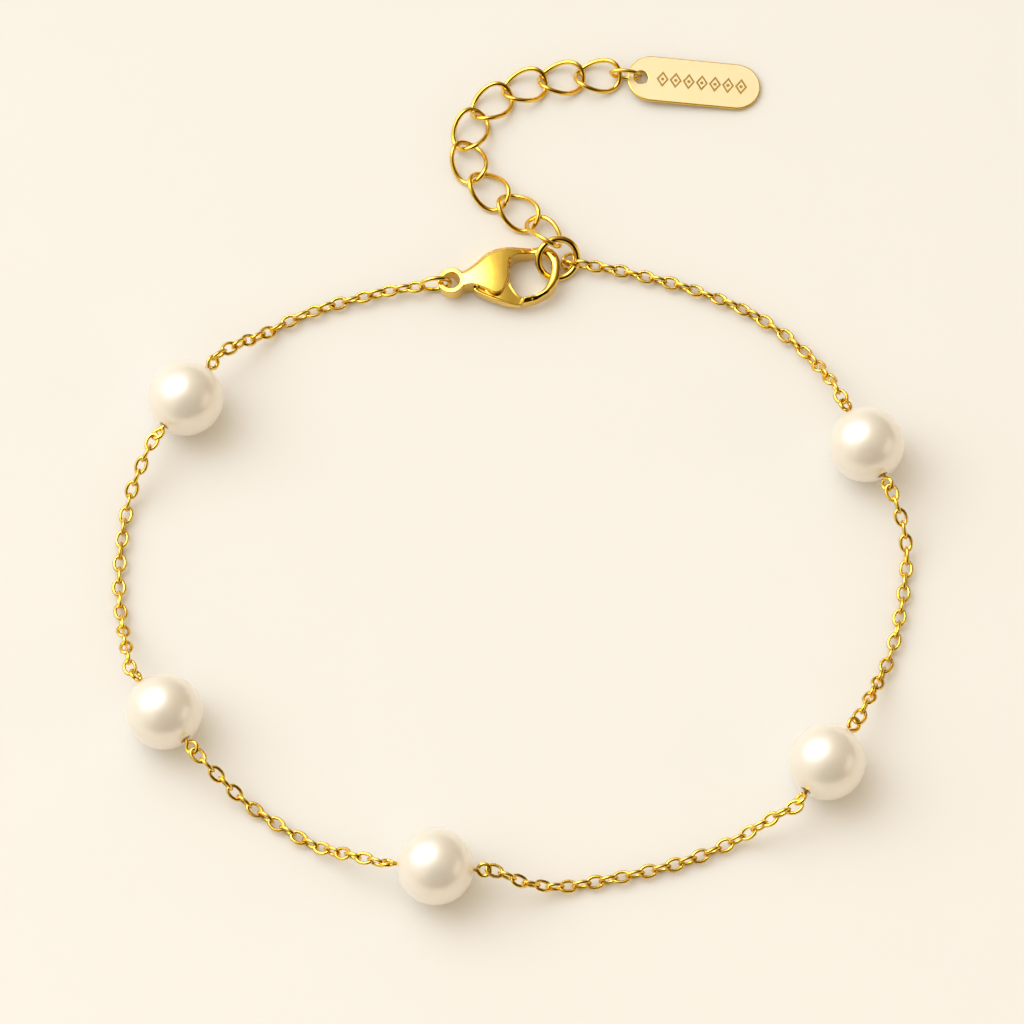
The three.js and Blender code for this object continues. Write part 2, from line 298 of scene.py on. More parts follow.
def swept_wire(line: np.ndarray, radii: np.ndarray, sides: int) -> tuple[np.ndarray, list]:
    """A round wire along a line, closed at both ends.

    Args:
        line: Points of its centreline.
        radii: Its radius at each of them.
        sides: Sides of its section.

    Returns:
        Points and faces.
    """
    ahead = np.gradient(line, axis=0)
    ahead /= np.linalg.norm(ahead, axis=1)[:, None]
    across = np.cross(ahead[0], WIRE_ASIDE)
    angles = 2 * np.pi * np.arange(sides) / sides
    rings = []
    for at, along, radius in zip(line, ahead, radii):
        across = across - along * (across @ along)
        across /= np.linalg.norm(across)
        upward = np.cross(along, across)
        rings.append(at + radius * (np.outer(np.cos(angles), across) + np.outer(np.sin(angles), upward)))
    faces = [
        (i * sides + j, i * sides + (j + 1) % sides, (i + 1) * sides + (j + 1) % sides, (i + 1) * sides + j)
        for i in range(len(rings) - 1)
        for j in range(sides)
    ]
    faces += [list(range(sides))[::-1], [(len(rings) - 1) * sides + j for j in range(sides)]]
    return np.vstack(rings), faces


# ---- Finishes ------------------------------------------------------------------------------------


NOISE_SPAN = (0.3, 0.7)  # the stretch of a noise's values that is spread over a range


def object_millimetres(graph: Graph) -> bpy.types.NodeSocket:
    """The surface's place in millimetres, for patterns; returns its socket."""
    place = graph.add("ShaderNodeTexCoord").outputs["Object"]
    return graph.add("ShaderNodeMapping", {"Vector": place, "Scale": (1 / MM, 1 / MM, 1 / MM)}).outputs[0]


def new_material(name: str, settings: dict[str, object]) -> tuple[bpy.types.Material, Graph, bpy.types.Node]:
    """A material with a Principled shader whose constant values are set on its own sockets.

    Args:
        name: Name of the material.
        settings: The shader's values by socket name.

    Returns:
        The material, its graph and its shader.
    """
    material = bpy.data.materials.new(name)
    material.use_nodes = True
    graph = Graph(material.node_tree)
    shader = material.node_tree.nodes["Principled BSDF"]
    for key, value in settings.items():
        shader.inputs[key].default_value = value
    return material, graph, shader


def noise(graph: Graph, place: bpy.types.NodeSocket, scale: float, detail: float) -> bpy.types.NodeSocket:
    """Soft random patches.

    Args:
        graph: The finish's graph.
        place: The surface's place.
        scale: Patches to one unit of place.
        detail: Finer layers laid over them.

    Returns:
        The socket of the noise.
    """
    pattern = graph.add("ShaderNodeTexNoise", {"Vector": place, "Scale": scale, "Detail": detail})
    return pattern.outputs["Fac"]


def two_tone(
    graph: Graph, amount: bpy.types.NodeSocket, colours: tuple[Colour, Colour], spread: Place
) -> bpy.types.NodeSocket:
    """A colour that drifts between two.

    Args:
        graph: The finish's graph.
        amount: The noise that it follows.
        colours: The two colours.
        spread: The noise at which it reaches each.

    Returns:
        The socket of the colour.
    """
    shade = graph.add("ShaderNodeValToRGB", {"Fac": amount})
    for stop, at, colour in zip(shade.color_ramp.elements, spread, colours):
        stop.position, stop.color = at, (*colour, 1.0)
    return shade.outputs["Color"]


def spread_over(graph: Graph, amount: bpy.types.NodeSocket, ends: Place) -> bpy.types.NodeSocket:
    """A noise stretched over a range of values; returns its socket."""
    low, high = NOISE_SPAN
    return graph.add("ShaderNodeMapRange", {0: amount, 1: low, 2: high, 3: ends[0], 4: ends[1]}).outputs[0]


def reach_of(graph: Graph, along: bpy.types.NodeSocket, across: bpy.types.NodeSocket) -> bpy.types.NodeSocket:
    """The straight distance made up of two at a right angle; returns its socket."""
    squares = [graph.sum("POWER", side, 2.0) for side in (along, across)]
    return graph.sum("SQRT", graph.sum("ADD", *squares))


def dress(graph: Graph, shader: bpy.types.Node, patterns: dict[str, bpy.types.NodeSocket]) -> None:
    """Links patterns to the shader.

    Args:
        graph: The finish's graph.
        shader: Its shader.
        patterns: The pattern for each of the shader's sockets.
    """
    for name, pattern in patterns.items():
        graph.tree.links.new(pattern, shader.inputs[name])


@dataclass(frozen=True)
class PolishedGold:
    """Polished gold plating: two close shades, faint polishing marks and a slightly uneven surface."""

    name: str
    bright: Colour
    deep: Colour
    roughness: Place
    patch: float = 1.1  # millimetres over which the shade changes
    spread: Place = (0.35, 0.68)  # the noise at which it is all bright, and all deep
    mark: float = 0.12  # millimetres between polishing marks
    relief: float = 0.004  # depth of the unevenness, millimetres

    def material(self) -> bpy.types.Material:
        """Builds the finish; returns its material."""
        material, graph, shader = new_material(
            self.name, {"Metallic": 1.0, "Coat Weight": 0.6, "Coat Roughness": 0.06, "Coat IOR": 1.7}
        )
        place = object_millimetres(graph)
        patches = noise(graph, place, 1 / self.patch, 2.0)
        marks = noise(graph, place, 1 / self.mark, 3.0)
        bump = graph.add("ShaderNodeBump", {"Height": patches, "Strength": 0.5, "Distance": self.relief * MM})
        patterns = {
            "Base Color": two_tone(graph, patches, (self.bright, self.deep), self.spread),
            "Roughness": spread_over(graph, marks, self.roughness),
            "Normal": bump.outputs[0],
        }
        dress(graph, shader, patterns)
        return material


CHAIN_POLISH = PolishedGold("chain_gold_polish", (0.95, 0.635, 0.06), (0.79, 0.47, 0.028), (0.10, 0.18))
BRIGHT_POLISH = PolishedGold("bright_gold_polish", (0.95, 0.645, 0.08), (0.82, 0.50, 0.04), (0.07, 0.12), 2.5)


@dataclass(frozen=True)
class Nacre:
    """Cultured pearl: warm ivory with a rosy cast in places, a deep lustre and a very fine skin."""

    name: str = "pearl_nacre"
    ivory: Colour = (0.84, 0.795, 0.695)
    rose: Colour = (0.85, 0.78, 0.68)
    band: float = 2.4  # millimetres over which the colour drifts
    spread: Place = (0.35, 0.65)  # the noise at which it is all ivory, and all rose
    grain: float = 0.25  # millimetres between the skin's grains
    relief: float = 0.003  # their depth, millimetres

    def material(self) -> bpy.types.Material:
        """Builds the finish; returns its material."""
        material, graph, shader = new_material(
            self.name,
            {
                "Metallic": 0.26,
                "Roughness": 0.31,
                "IOR": 1.6,
                "Coat Weight": 0.9,
                "Coat Roughness": 0.25,
                "Coat IOR": 1.6,
                "Sheen Weight": 0.3,
                "Sheen Roughness": 0.5,
                "Sheen Tint": (1.0, 0.96, 0.90, 1.0),
            },
        )
        place = object_millimetres(graph)
        drift = noise(graph, place, 1 / self.band, 1.0)
        skin = noise(graph, place, 1 / self.grain, 2.0)
        bump = graph.add("ShaderNodeBump", {"Height": skin, "Strength": 0.25, "Distance": self.relief * MM})
        shade = two_tone(graph, drift, (self.ivory, self.rose), self.spread)
        dress(graph, shader, {"Base Color": shade, "Normal": bump.outputs[0]})
        return material


@dataclass(frozen=True)
class SatinGold:
    """The tag's pale gold, drawn to a fine lengthwise satin."""

    place: Attitude
    name: str = "tag_satin_gold"
    pale: Colour = (0.75, 0.64, 0.385)
    warm: Colour = (0.74, 0.625, 0.365)
    cloud: float = 0.35  # patches of the two shades to a millimetre
    spread: Place = (0.35, 0.7)  # the noise at which it is all pale, and all warm
    # painted shade: a deeper gold on the polished edge, for the darker look of the tag's sides
    edge: Colour = (0.80, 0.50, 0.09)
    edge_line: Place = (4.0, 2.24)  # half the flat's straight length, and where its polished edge begins
    hole_line: Place = (-5.05, 0.74)  # the same for the hole: its place, and where its edge ends
    roughness: Place = (0.55, 0.62)
    edge_roughness: float = 0.22
    stroke: float = 0.05  # millimetres between strokes of the satin
    stroke_shape: float = 0.06  # a stroke's width over its length
    stroke_depth: float = 0.002
    painted_groove_shade: Colour = (0.42, 0.24, 0.05)  # painted shade down in the engraving's grooves
    motif: Place = (-3.6, 5.15)  # from where to where along the tag it is engraved
    motif_pitch: float = 1.25
    lozenge: Place = (0.48, 0.70)  # half its length, and its length over its width
    line: float = 0.075
    dot: float = 0.13
    cut_edge: float = 0.03  # over which a cut runs out
    cut_depth: float = 0.05

    def material(self) -> bpy.types.Material:
        """Builds the finish; returns its material."""
        material, graph, shader = new_material(self.name, {"Metallic": 1.0})
        place = graph.add(
            "ShaderNodeMapping",
            {
                "Vector": object_millimetres(graph),
                "Location": tuple(self.place.matrix().translation / MM),
                "Rotation": tuple(self.place.turn().to_euler("XYZ")),
            },
            vector_type="TEXTURE",
        ).outputs[0]
        along = graph.add("ShaderNodeMapping", {"Vector": place, "Scale": (self.stroke_shape, 1.0, 1.0)})
        strokes = noise(graph, along.outputs[0], 1 / self.stroke, 2.0)
        shade = two_tone(graph, noise(graph, place, self.cloud, 1.0), (self.pale, self.warm), self.spread)
        drawn = graph.add(
            "ShaderNodeBump", {"Height": strokes, "Strength": 0.15, "Distance": self.stroke_depth * MM}
        )
        engraved, rim = self.engraving(graph, place), self.polished_edge_and_shade(graph, place)
        depth = self.cut_depth * MM
        cut_in = graph.add(
            "ShaderNodeBump",
            {"Height": engraved, "Strength": 1.0, "Distance": depth, "Normal": drawn.outputs[0]},
            invert=True,
        )
        # Painted shade goes into the engraving's grooves, and a deeper gold, painted as shade, on to the
        # polished edge.
        for share, colour in ((engraved, self.painted_groove_shade), (rim, self.edge)):
            mixed = graph.add("ShaderNodeMix", {0: share, 6: shade, 7: (*colour, 1.0)}, data_type="RGBA")
            shade = mixed.outputs[2]
        satin = spread_over(graph, strokes, self.roughness)
        polish = graph.add("ShaderNodeMix", {0: rim, 2: satin, 3: self.edge_roughness})
        patterns = {"Base Color": shade, "Roughness": polish.outputs[0], "Normal": cut_in.outputs[0]}
        dress(graph, shader, patterns)
        return material

    def polished_edge_and_shade(self, graph: Graph, place: bpy.types.NodeSocket) -> bpy.types.NodeSocket:
        """The polished edge round the tag and its hole: really polished, and given a deeper gold as painted
        shade.

        Args:
            graph: The finish's graph.
            place: The surface's place on the tag, in millimetres.

        Returns:
            A socket that is 1 on the edge and 0 on the flats.
        """
        at = graph.add("ShaderNodeSeparateXYZ", {0: place}).outputs
        straight, reach = self.edge_line
        beyond = graph.sum("SUBTRACT", graph.sum("ABSOLUTE", at["X"]), straight)
        outer = reach_of(graph, graph.sum("MAXIMUM", beyond, 0.0), at["Y"])
        hole, inner_reach = self.hole_line
        inner = reach_of(graph, graph.sum("SUBTRACT", at["X"], hole), at["Y"])
        rim, lip = graph.sum("GREATER_THAN", outer, reach), graph.sum("LESS_THAN", inner, inner_reach)
        return graph.sum("MAXIMUM", rim, lip)

    def engraving(self, graph: Graph, place: bpy.types.NodeSocket) -> bpy.types.NodeSocket:
        """The engraved row of lozenges, each with a dot in its middle.

        Args:
            graph: The finish's graph.
            place: The surface's place on the tag, in millimetres.

        Returns:
            A socket that is 1 in the engraving and 0 elsewhere.
        """
        at = graph.add("ShaderNodeSeparateXYZ", {0: place})
        first, last = self.motif
        past = graph.sum("SUBTRACT", at.outputs["X"], first)
        cell = graph.sum("SUBTRACT", graph.sum("FRACT", graph.sum("DIVIDE", past, self.motif_pitch)), 0.5)
        along = graph.sum("ABSOLUTE", graph.sum("MULTIPLY", cell, self.motif_pitch))
        across = graph.sum("ABSOLUTE", at.outputs["Y"])
        side = graph.sum("ADD", along, graph.sum("MULTIPLY", across, self.lozenge[1]))
        outline = graph.sum("ABSOLUTE", graph.sum("SUBTRACT", side, self.lozenge[0]))
        middle = reach_of(graph, along, across)
        strokes = []
        for reach, half in ((outline, self.line), (middle, self.dot)):
            stroke = graph.add(
                "ShaderNodeMapRange", {0: reach, 1: half, 2: half + self.cut_edge, 3: 1.0, 4: 0.0}
            )
            strokes.append(stroke.outputs[0])
        inside = graph.sum(
            "MULTIPLY",
            graph.sum("GREATER_THAN", past, 0.0),
            graph.sum("LESS_THAN", at.outputs["X"], last),
        )
        upper = graph.sum("GREATER_THAN", at.outputs["Z"], 0.0)
        return graph.sum("MULTIPLY", graph.sum("MAXIMUM", *strokes), graph.sum("MULTIPLY", inside, upper))


@dataclass(frozen=True)
class PaleFloor:
    """The plain cream surface that the anklet lies on, its colour dimmed towards the back as painted shade.
    """

    name: str = "cream_floor"
    cream: Colour = (0.83, 0.82, 0.80)
    grain: float = 90.0  # patches of its faint grain to a metre
    grain_shade: float = 0.985  # the grain's dark places against its light ones
    gloss: float = 0.1
    fall: Spot = (-0.06, 0.06, 0.96)  # painted shade: from where to where its colour dims towards the back, and how far
    distance: Colour = (0.95, 0.89, 0.79)  # what it runs into, the same as the backdrop
    sweep: Place = (0.25, 1.1)  # where it starts and ends to do so, metres

    def material(self) -> bpy.types.Material:
        """Builds the finish; returns its material."""
        material, graph, shader = new_material(self.name, {"Roughness": 0.9})
        place = graph.add("ShaderNodeTexCoord").outputs["Object"]
        darker = tuple(c * self.grain_shade for c in self.cream)
        shade = two_tone(graph, noise(graph, place, self.grain, 3.0), (darker, self.cream), (0.0, 1.0))
        # Painted shade: the cream is dimmed towards the back.
        back = graph.add("ShaderNodeSeparateXYZ", {0: place}).outputs["Y"]
        start, end, least = self.fall
        dim = graph.add("ShaderNodeMapRange", {0: back, 1: start, 2: end, 3: 1.0, 4: least}).outputs[0]
        tone = graph.add("ShaderNodeVectorMath", {0: shade, "Scale": dim}, operation="SCALE").outputs[0]
        reach = graph.add("ShaderNodeVectorMath", {0: place}, operation="LENGTH").outputs["Value"]
        far = graph.add(
            "ShaderNodeMapRange",
            {0: reach, 1: self.sweep[0], 2: self.sweep[1], 3: 0.0, 4: 1.0},
            interpolation_type="SMOOTHSTEP",
        ).outputs[0]
        near = graph.add("ShaderNodeMix", {0: far, 6: tone, 7: (0.0, 0.0, 0.0, 1.0)}, data_type="RGBA")
        gloss = graph.add("ShaderNodeMapRange", {0: far, 3: self.gloss, 4: 0.0}).outputs[0]
        shader.inputs["Emission Color"].default_value = (*self.distance, 1.0)
        patterns = {"Base Color": near.outputs[2], "Emission Strength": far, "Specular IOR Level": gloss}
        dress(graph, shader, patterns)
        return material


# ---- Studio --------------------------------------------------------------------------------------


@dataclass(frozen=True)
class SoftLight:
    """A rectangular soft light, aimed at the middle of the loop."""

    name: str
    toward: Spot  # direction from the anklet to the light
    distance: float
    size: Place
    power: float
    spin: float = 0.0
    colour: Colour = (1.0, 1.0, 1.0)
    fade: Place = (0.0, 0.0)  # where it starts and ends to fade, in half sizes; 0 and 0 for an even light
    rim: float = 0.06  # what is left of it past there
    gloss_only: bool = False

    def build(self, aim: Vector) -> bpy.types.Object:
        """Hangs the light.

        Args:
            aim: The point that it faces.

        Returns:
            The light.
        """
        lamp = bpy.data.lights.new(self.name, "AREA")
        lamp.shape, lamp.size, lamp.size_y = "RECTANGLE", *self.size
        lamp.energy, lamp.color = self.power, self.colour
        light = bpy.data.objects.new(self.name, lamp)
        bpy.context.scene.collection.objects.link(light)
        away = Vector(self.toward).normalized()
        turn = away.to_track_quat("Z", "Y").to_matrix().to_4x4()
        spin = Matrix.Rotation(math.radians(self.spin), 4, "Z")
        light.matrix_world = Matrix.Translation(aim + away * self.distance) @ turn @ spin
        light.visible_camera = False
        light.visible_diffuse = not self.gloss_only
        if self.fade[1]:
            self.build_fade(lamp)
        return light

    def build_fade(self, lamp: bpy.types.AreaLight) -> None:
        """Dims the light towards its edges, as a softbox's cloth does.

        Args:
            lamp: The light's data.
        """
        lamp.use_nodes = True
        graph = Graph(lamp.node_tree)
        place = graph.add("ShaderNodeTexCoord").outputs["UV"]
        reach = graph.add("ShaderNodeVectorMath", {0: place, 1: (0.5, 0.5, 0.0)}, operation="DISTANCE")
        dim = graph.add(
            "ShaderNodeMapRange",
            {0: reach.outputs["Value"], 1: self.fade[0] / 2, 2: self.fade[1] / 2, 3: 1.0, 4: self.rim},
            interpolation_type="SMOOTHSTEP",
        )
        graph.tree.links.new(dim.outputs[0], lamp.node_tree.nodes["Emission"].inputs["Strength"])


@dataclass
class Studio:
    """Camera, floor, soft lights and a plain surround."""

    elevation: float = 67.0
    distance: float = 0.633
    lens: float = 240.0
    floor_radius: float = 7.0
    floor_sides: int = 96
    backdrop: Colour = PaleFloor.distance
    bright_side: Spot = (-0.75, 0.35, 0.56)
    glow: tuple[tuple[float, Colour], ...] = (
        (-0.5, (0.70, 0.55, 0.36)),
        (0.0, (0.74, 0.60, 0.43)),
        (0.35, (0.81, 0.70, 0.55)),
        (0.65, (0.84, 0.78, 0.67)),
    )
    shine: tuple[tuple[float, Colour], ...] = (
        (-0.6, (0.12, 0.06, 0.014)),
        (0.0, (0.20, 0.13, 0.05)),
        (0.35, (0.46, 0.38, 0.26)),
        (0.6, (0.84, 0.78, 0.68)),
    )
    dark_side: Spot = (0.25, -0.83, 0.50)
    dark_reach: Place = (0.6, 0.96)
    dark_share: float = 0.95
    lights: tuple[SoftLight, ...] = (
        SoftLight(
            "key_softbox",
            toward=(-0.56, 0.29, 0.78),
            distance=1.2,
            size=(2.4, 1.75),
            power=35.0,
            spin=126.0,
            colour=(0.92, 0.965, 1.0),
            fade=(0.1, 1.0),
        ),
        SoftLight(
            "key_core",
            toward=(-0.48, 0.33, 0.81),
            distance=1.15,
            size=(1.55, 1.15),
            power=34.0,
            spin=126.0,
            colour=(0.97, 0.99, 1.0),
            fade=(0.0, 1.0),
            rim=0.0,
            gloss_only=True,
        ),
        SoftLight(
            "fill_card",
            toward=(0.95, -0.21, 0.30),
            distance=1.3,
            size=(0.9, 0.5),
            power=1.3,
            colour=(1.0, 0.95, 0.88),
        ),
    )

    def build(self, material: bpy.types.Material) -> None:
        """Builds the studio.

        Args:
            material: The floor's finish.
        """
        aim = Vector((0.0, LOOP_CENTRE_Y * MM, 0.0))
        self.build_camera(aim)
        for light in self.lights:
            light.build(aim)
        self.build_floor(material)
        self.build_surround()
        bpy.context.scene.view_settings.view_transform = "Standard"

    def build_camera(self, aim: Vector) -> None:
        """Sets the camera up.

        Args:
            aim: The point in the middle of its picture.
        """
        lens = bpy.data.cameras.new("camera")
        lens.lens = self.lens
        lens.sensor_width = 36.0
        lens.clip_start, lens.clip_end = 0.02, 20.0
        camera = bpy.data.objects.new("camera", lens)
        bpy.context.scene.collection.objects.link(camera)
        rise = math.radians(self.elevation)
        back = Vector((0.0, -math.cos(rise), math.sin(rise)))
        camera.location = aim + back * self.distance
        camera.rotation_euler = back.to_track_quat("Z", "Y").to_euler()
        bpy.context.scene.camera = camera

    def build_floor(self, material: bpy.types.Material) -> None:
        """Lays the floor.

        Args:
            material: Its finish.
        """
        sheet = bmesh.new()
        bmesh.ops.create_circle(sheet, cap_ends=True, radius=self.floor_radius, segments=self.floor_sides)
        mesh = bpy.data.meshes.new("floor")
        sheet.to_mesh(mesh)
        sheet.free()
        floor = new_piece("floor", mesh, material)

    def ramp(self, graph: Graph, share: bpy.types.NodeSocket, stops: tuple) -> bpy.types.NodeSocket:
        """A colour that changes round the sky.

        Args:
            graph: The world's graph.
            share: How far round, from 0 away from the bright side to 1 towards it.
            stops: Cosines of the angle to the bright side, each with its colour.

        Returns:
            The colour's socket.
        """
        node = graph.add("ShaderNodeValToRGB", {"Fac": share})
        while len(node.color_ramp.elements) < len(stops):
            node.color_ramp.elements.new(0.5)
        for stop, (at, colour) in zip(node.color_ramp.elements, stops):
            stop.position, stop.color = (at + 1) / 2, (*colour, 1.0)
        return node.outputs["Color"]

    def build_surround(self) -> None:
        """Makes the world: soft for the light, darker where polish mirrors it, a plain backdrop behind."""
        world = bpy.data.worlds.new("surround")
        bpy.context.scene.world = world
        world.use_nodes = True
        graph = Graph(world.node_tree)
        direction = graph.add("ShaderNodeTexCoord").outputs["Generated"]
        sides = (tuple(Vector(side).normalized()) for side in (self.bright_side, self.dark_side))
        facing, away = (
            graph.add(
                "ShaderNodeVectorMath", {0: direction, 1: side}, operation="DOT_PRODUCT"
            ).outputs["Value"]
            for side in sides
        )
        share = graph.add("ShaderNodeMapRange", {0: facing, 1: -1.0, 2: 1.0, 3: 0.0, 4: 1.0}).outputs[0]
        path = graph.add("ShaderNodeLightPath").outputs
        dimmed = graph.add(
            "ShaderNodeMapRange",
            {0: away, 1: self.dark_reach[0], 2: self.dark_reach[1], 3: 1.0, 4: 1.0 - self.dark_share},
            interpolation_type="SMOOTHSTEP",
        )
        mirrored = graph.add(
            "ShaderNodeVectorMath",
            {0: self.ramp(graph, share, self.shine), "Scale": dimmed.outputs[0]},
            operation="SCALE",
        )
        lit = graph.add(
            "ShaderNodeMix",
            {0: path["Is Glossy Ray"], 6: self.ramp(graph, share, self.glow), 7: mirrored.outputs[0]},
            data_type="RGBA",
        )
        shown = graph.add(
            "ShaderNodeMix",
            {0: path["Is Camera Ray"], 6: lit.outputs[2], 7: (*self.backdrop, 1.0)},
            data_type="RGBA",
        )
        world.node_tree.links.new(shown.outputs[2], world.node_tree.nodes["Background"].inputs["Color"])


# ---- Pearls and pins -----------------------------------------------------------------------------


@dataclass
class StrungPearl:
    """A drilled pearl on its eye pin, as the CAD places it."""

    number: int
    x: float
    y: float
    heading: float
    diameter: float = 7.0
    hole: float = 0.9
    lip: float = 0.1  # rounding of the drilling's edge
    lip_turns: tuple[float, ...] = (75.0, 50.0, 25.0, 0.0)  # where round it the rounding has points, degrees
    lip_sink: float = 0.012  # how far it lies within the ball
    sides: int = 72
    rings: int = 48
    wire: float = 0.4
    eye: float = 1.5  # outer diameter of each eye
    eye_clear: float = 0.15
    eye_rolls: Place = (35.0, -50.0)
    eye_neck: tuple[Place, ...] = ((-0.5, 0.0), (-0.28, -0.02), (-0.06, -0.12))  # from the eye's near side
    eye_round: Place = (218.0, 525.0)  # from where to where the wire goes round, degrees
    eye_steps: int = 30
    chain_clear: float = 0.2  # from an eye to the chain's last link
    wire_sides: int = 10

    def attitude(self) -> Attitude:
        """Where the pearl lies, its drilling level."""
        return Attitude(self.x, self.y, self.diameter / 2, self.heading)

    def eye_reach(self) -> float:
        """From the pearl's centre to the centre of each eye."""
        return self.diameter / 2 + self.eye_clear + self.eye / 2

    def bead_mesh(self) -> bpy.types.Mesh:
        """Turns the bead about its drilling, with eased edges where the drill went in; returns its mesh."""
        radius, bore = self.diameter / 2, self.hole / 2
        start = math.asin((bore + self.lip) / radius)
        angles = np.linspace(start, math.pi - start, self.rings)
        outside = np.column_stack([-radius * np.cos(angles), radius * np.sin(angles)])
        face = radius * math.cos(start)
        bends = np.radians(self.lip_turns)
        lip = np.column_stack(
            [face - self.lip * (1 - np.sin(bends)) - self.lip_sink, bore + self.lip * (1 - np.cos(bends))]
        )
        profile = np.vstack([outside, lip, lip[::-1] * (-1, 1)])
        turns = 2 * np.pi * np.arange(self.sides) / self.sides
        points = np.array([(u, v * math.cos(t), v * math.sin(t)) for t in turns for u, v in profile])
        n = len(profile)
        faces = [
            (i * n + j, i * n + (j + 1) % n, after * n + (j + 1) % n, after * n + j)
            for i, after in ((i, (i + 1) % self.sides) for i in range(self.sides))
            for j in range(n)
        ]
        return mesh_of(points, faces, self.attitude().matrix())

    def eye_line(self, side: int, roll: float) -> np.ndarray:
        """The wire of one eye: out along the drilling, aside, and once round.

        Args:
            side: 1 for the far end along the loop, -1 for the near end.
            roll: Turn of the eye about the pin, degrees.

        Returns:
            Points of its centreline, from the pearl outwards.
        """
        loop = (self.eye - self.wire) / 2
        centre = self.eye_reach()
        neck = [(0.0, 0.0), *((centre - loop + out, aside) for out, aside in self.eye_neck)]
        turns = np.radians(np.linspace(*self.eye_round, self.eye_steps))
        flat = np.vstack([neck, np.column_stack([centre + loop * np.cos(turns), loop * np.sin(turns)])])
        out, aside = flat.T
        angle = math.radians(roll)
        return np.column_stack([side * out, aside * math.cos(angle), aside * math.sin(angle)])

    def pin_mesh(self) -> bpy.types.Mesh:
        """Bends the pin: one wire through the pearl with an eye at each end; returns its mesh."""
        near, far = self.eye_line(-1, self.eye_rolls[1]), self.eye_line(1, self.eye_rolls[0])
        line = np.vstack([near[::-1], far[1:]])
        points, faces = swept_wire(line, np.full(len(line), self.wire / 2), self.wire_sides)
        return mesh_of(points, faces, self.attitude().matrix())

    def chain_end(self, side: int) -> Spot:
        """Where the chain's last link hangs on one eye.

        Args:
            side: 1 for the far eye along the loop, -1 for the near one.

        Returns:
            The centre of that link, in layout millimetres.
        """
        reach = side * (self.eye_reach() + self.eye / 2 + self.chain_clear)
        angle = math.radians(self.heading)
        return (self.x + reach * math.cos(angle), self.y + reach * math.sin(angle), self.diameter / 2)

    def build(self, nacre: bpy.types.Material, gold: bpy.types.Material) -> None:
        """Makes the bead and its pin.

        Args:
            nacre: The pearl's finish.
            gold: The pin's finish.
        """
        bead = new_piece(f"drilled_pearl_{self.number}", self.bead_mesh(), nacre)
        keep(bead, Body.ANKLET, Slot.PEARL, f"pearl_{self.number}")
        pin = new_piece(f"eye_pin_{self.number}", self.pin_mesh(), gold)
        keep(pin, Body.ANKLET, Slot.CHAIN_GOLD, f"pin_{self.number}")


def keep(piece: bpy.types.Object, body: Body, slot: Slot, *nodes: str) -> None:
    """Ties a finished piece to the CAD part and reports it.

    Args:
        piece: The piece, in place.
        body: The CAD body that it rides on.
        slot: The record's slot that it is finished from; not used.
        nodes: CAD nodes that it stands for.
    """
    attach(piece, body.value)
    if nodes:
        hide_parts(*nodes)
    triangles = sum(len(face.vertices) - 2 for face in piece.data.polygons)
    stands_for = ", ".join(nodes) or "no node"
    LOG.info("%s: %d triangles, on %s, for %s", piece.name, triangles, body.value, stands_for)


# ---- Links made by Geometry Nodes ----------------------------------------------------------------


def wire_link_tree() -> MeshTree:
    """The group that bends one oval link of round wire, its length along X; returns it."""
    tree = MeshTree("wire_link", takes_geometry=False)
    length, width, wire, twist = (tree.input(name, "Float") for name in ("Length", "Width", "Wire", "Twist"))
    steps, sides = tree.input("Steps", "Int"), tree.input("Sides", "Int")
    graph = tree.graph
    ring = graph.add("GeometryNodeCurvePrimitiveCircle", {"Resolution": steps, "Radius": 1.0}, mode="RADIUS")
    at = graph.add("ShaderNodeSeparateXYZ", {0: graph.add("GeometryNodeInputPosition").outputs[0]})
    half_length = graph.sum("MULTIPLY", graph.sum("SUBTRACT", length, wire), 0.5)
    half_width = graph.sum("MULTIPLY", graph.sum("SUBTRACT", width, wire), 0.5)
    x = graph.sum("MULTIPLY", at.outputs["X"], half_length)
    y = graph.sum("MULTIPLY", at.outputs["Y"], half_width)
    z = graph.sum("MULTIPLY", graph.sum("MULTIPLY", x, y), twist)
    oval = graph.add("ShaderNodeCombineXYZ", {"X": x, "Y": y, "Z": z})
    bent = graph.add("GeometryNodeSetPosition", {"Geometry": ring.outputs[0], "Position": oval.outputs[0]})
    section = graph.add(
        "GeometryNodeCurvePrimitiveCircle", {"Resolution": sides, "Radius": graph.sum("MULTIPLY", wire, 0.5)}
    )
    link = graph.add(
        "GeometryNodeCurveToMesh", {"Curve": bent.outputs[0], "Profile Curve": section.outputs[0]}
    )
    tree.end(link.outputs[0])
    return tree


def link_group(tree: MeshTree, link: MeshTree, sizes: list[str]) -> bpy.types.Node:
    """Puts the link group into a tree, with the sizes as the tree's own inputs.

    Args:
        tree: The tree that uses it.
        link: The link group.
        sizes: Names of the inputs that are passed on.

    Returns:
        The group node.
    """
    node = tree.graph.add("GeometryNodeGroup", node_tree=link.graph.tree)
    for name in sizes:
        kind = "Int" if name in ("Steps", "Sides") else "Float"
        tree.graph.tree.links.new(tree.input(name, kind), node.inputs[name])
    return node


LINK_SIZES = ["Length", "Width", "Wire", "Twist", "Steps", "Sides"]


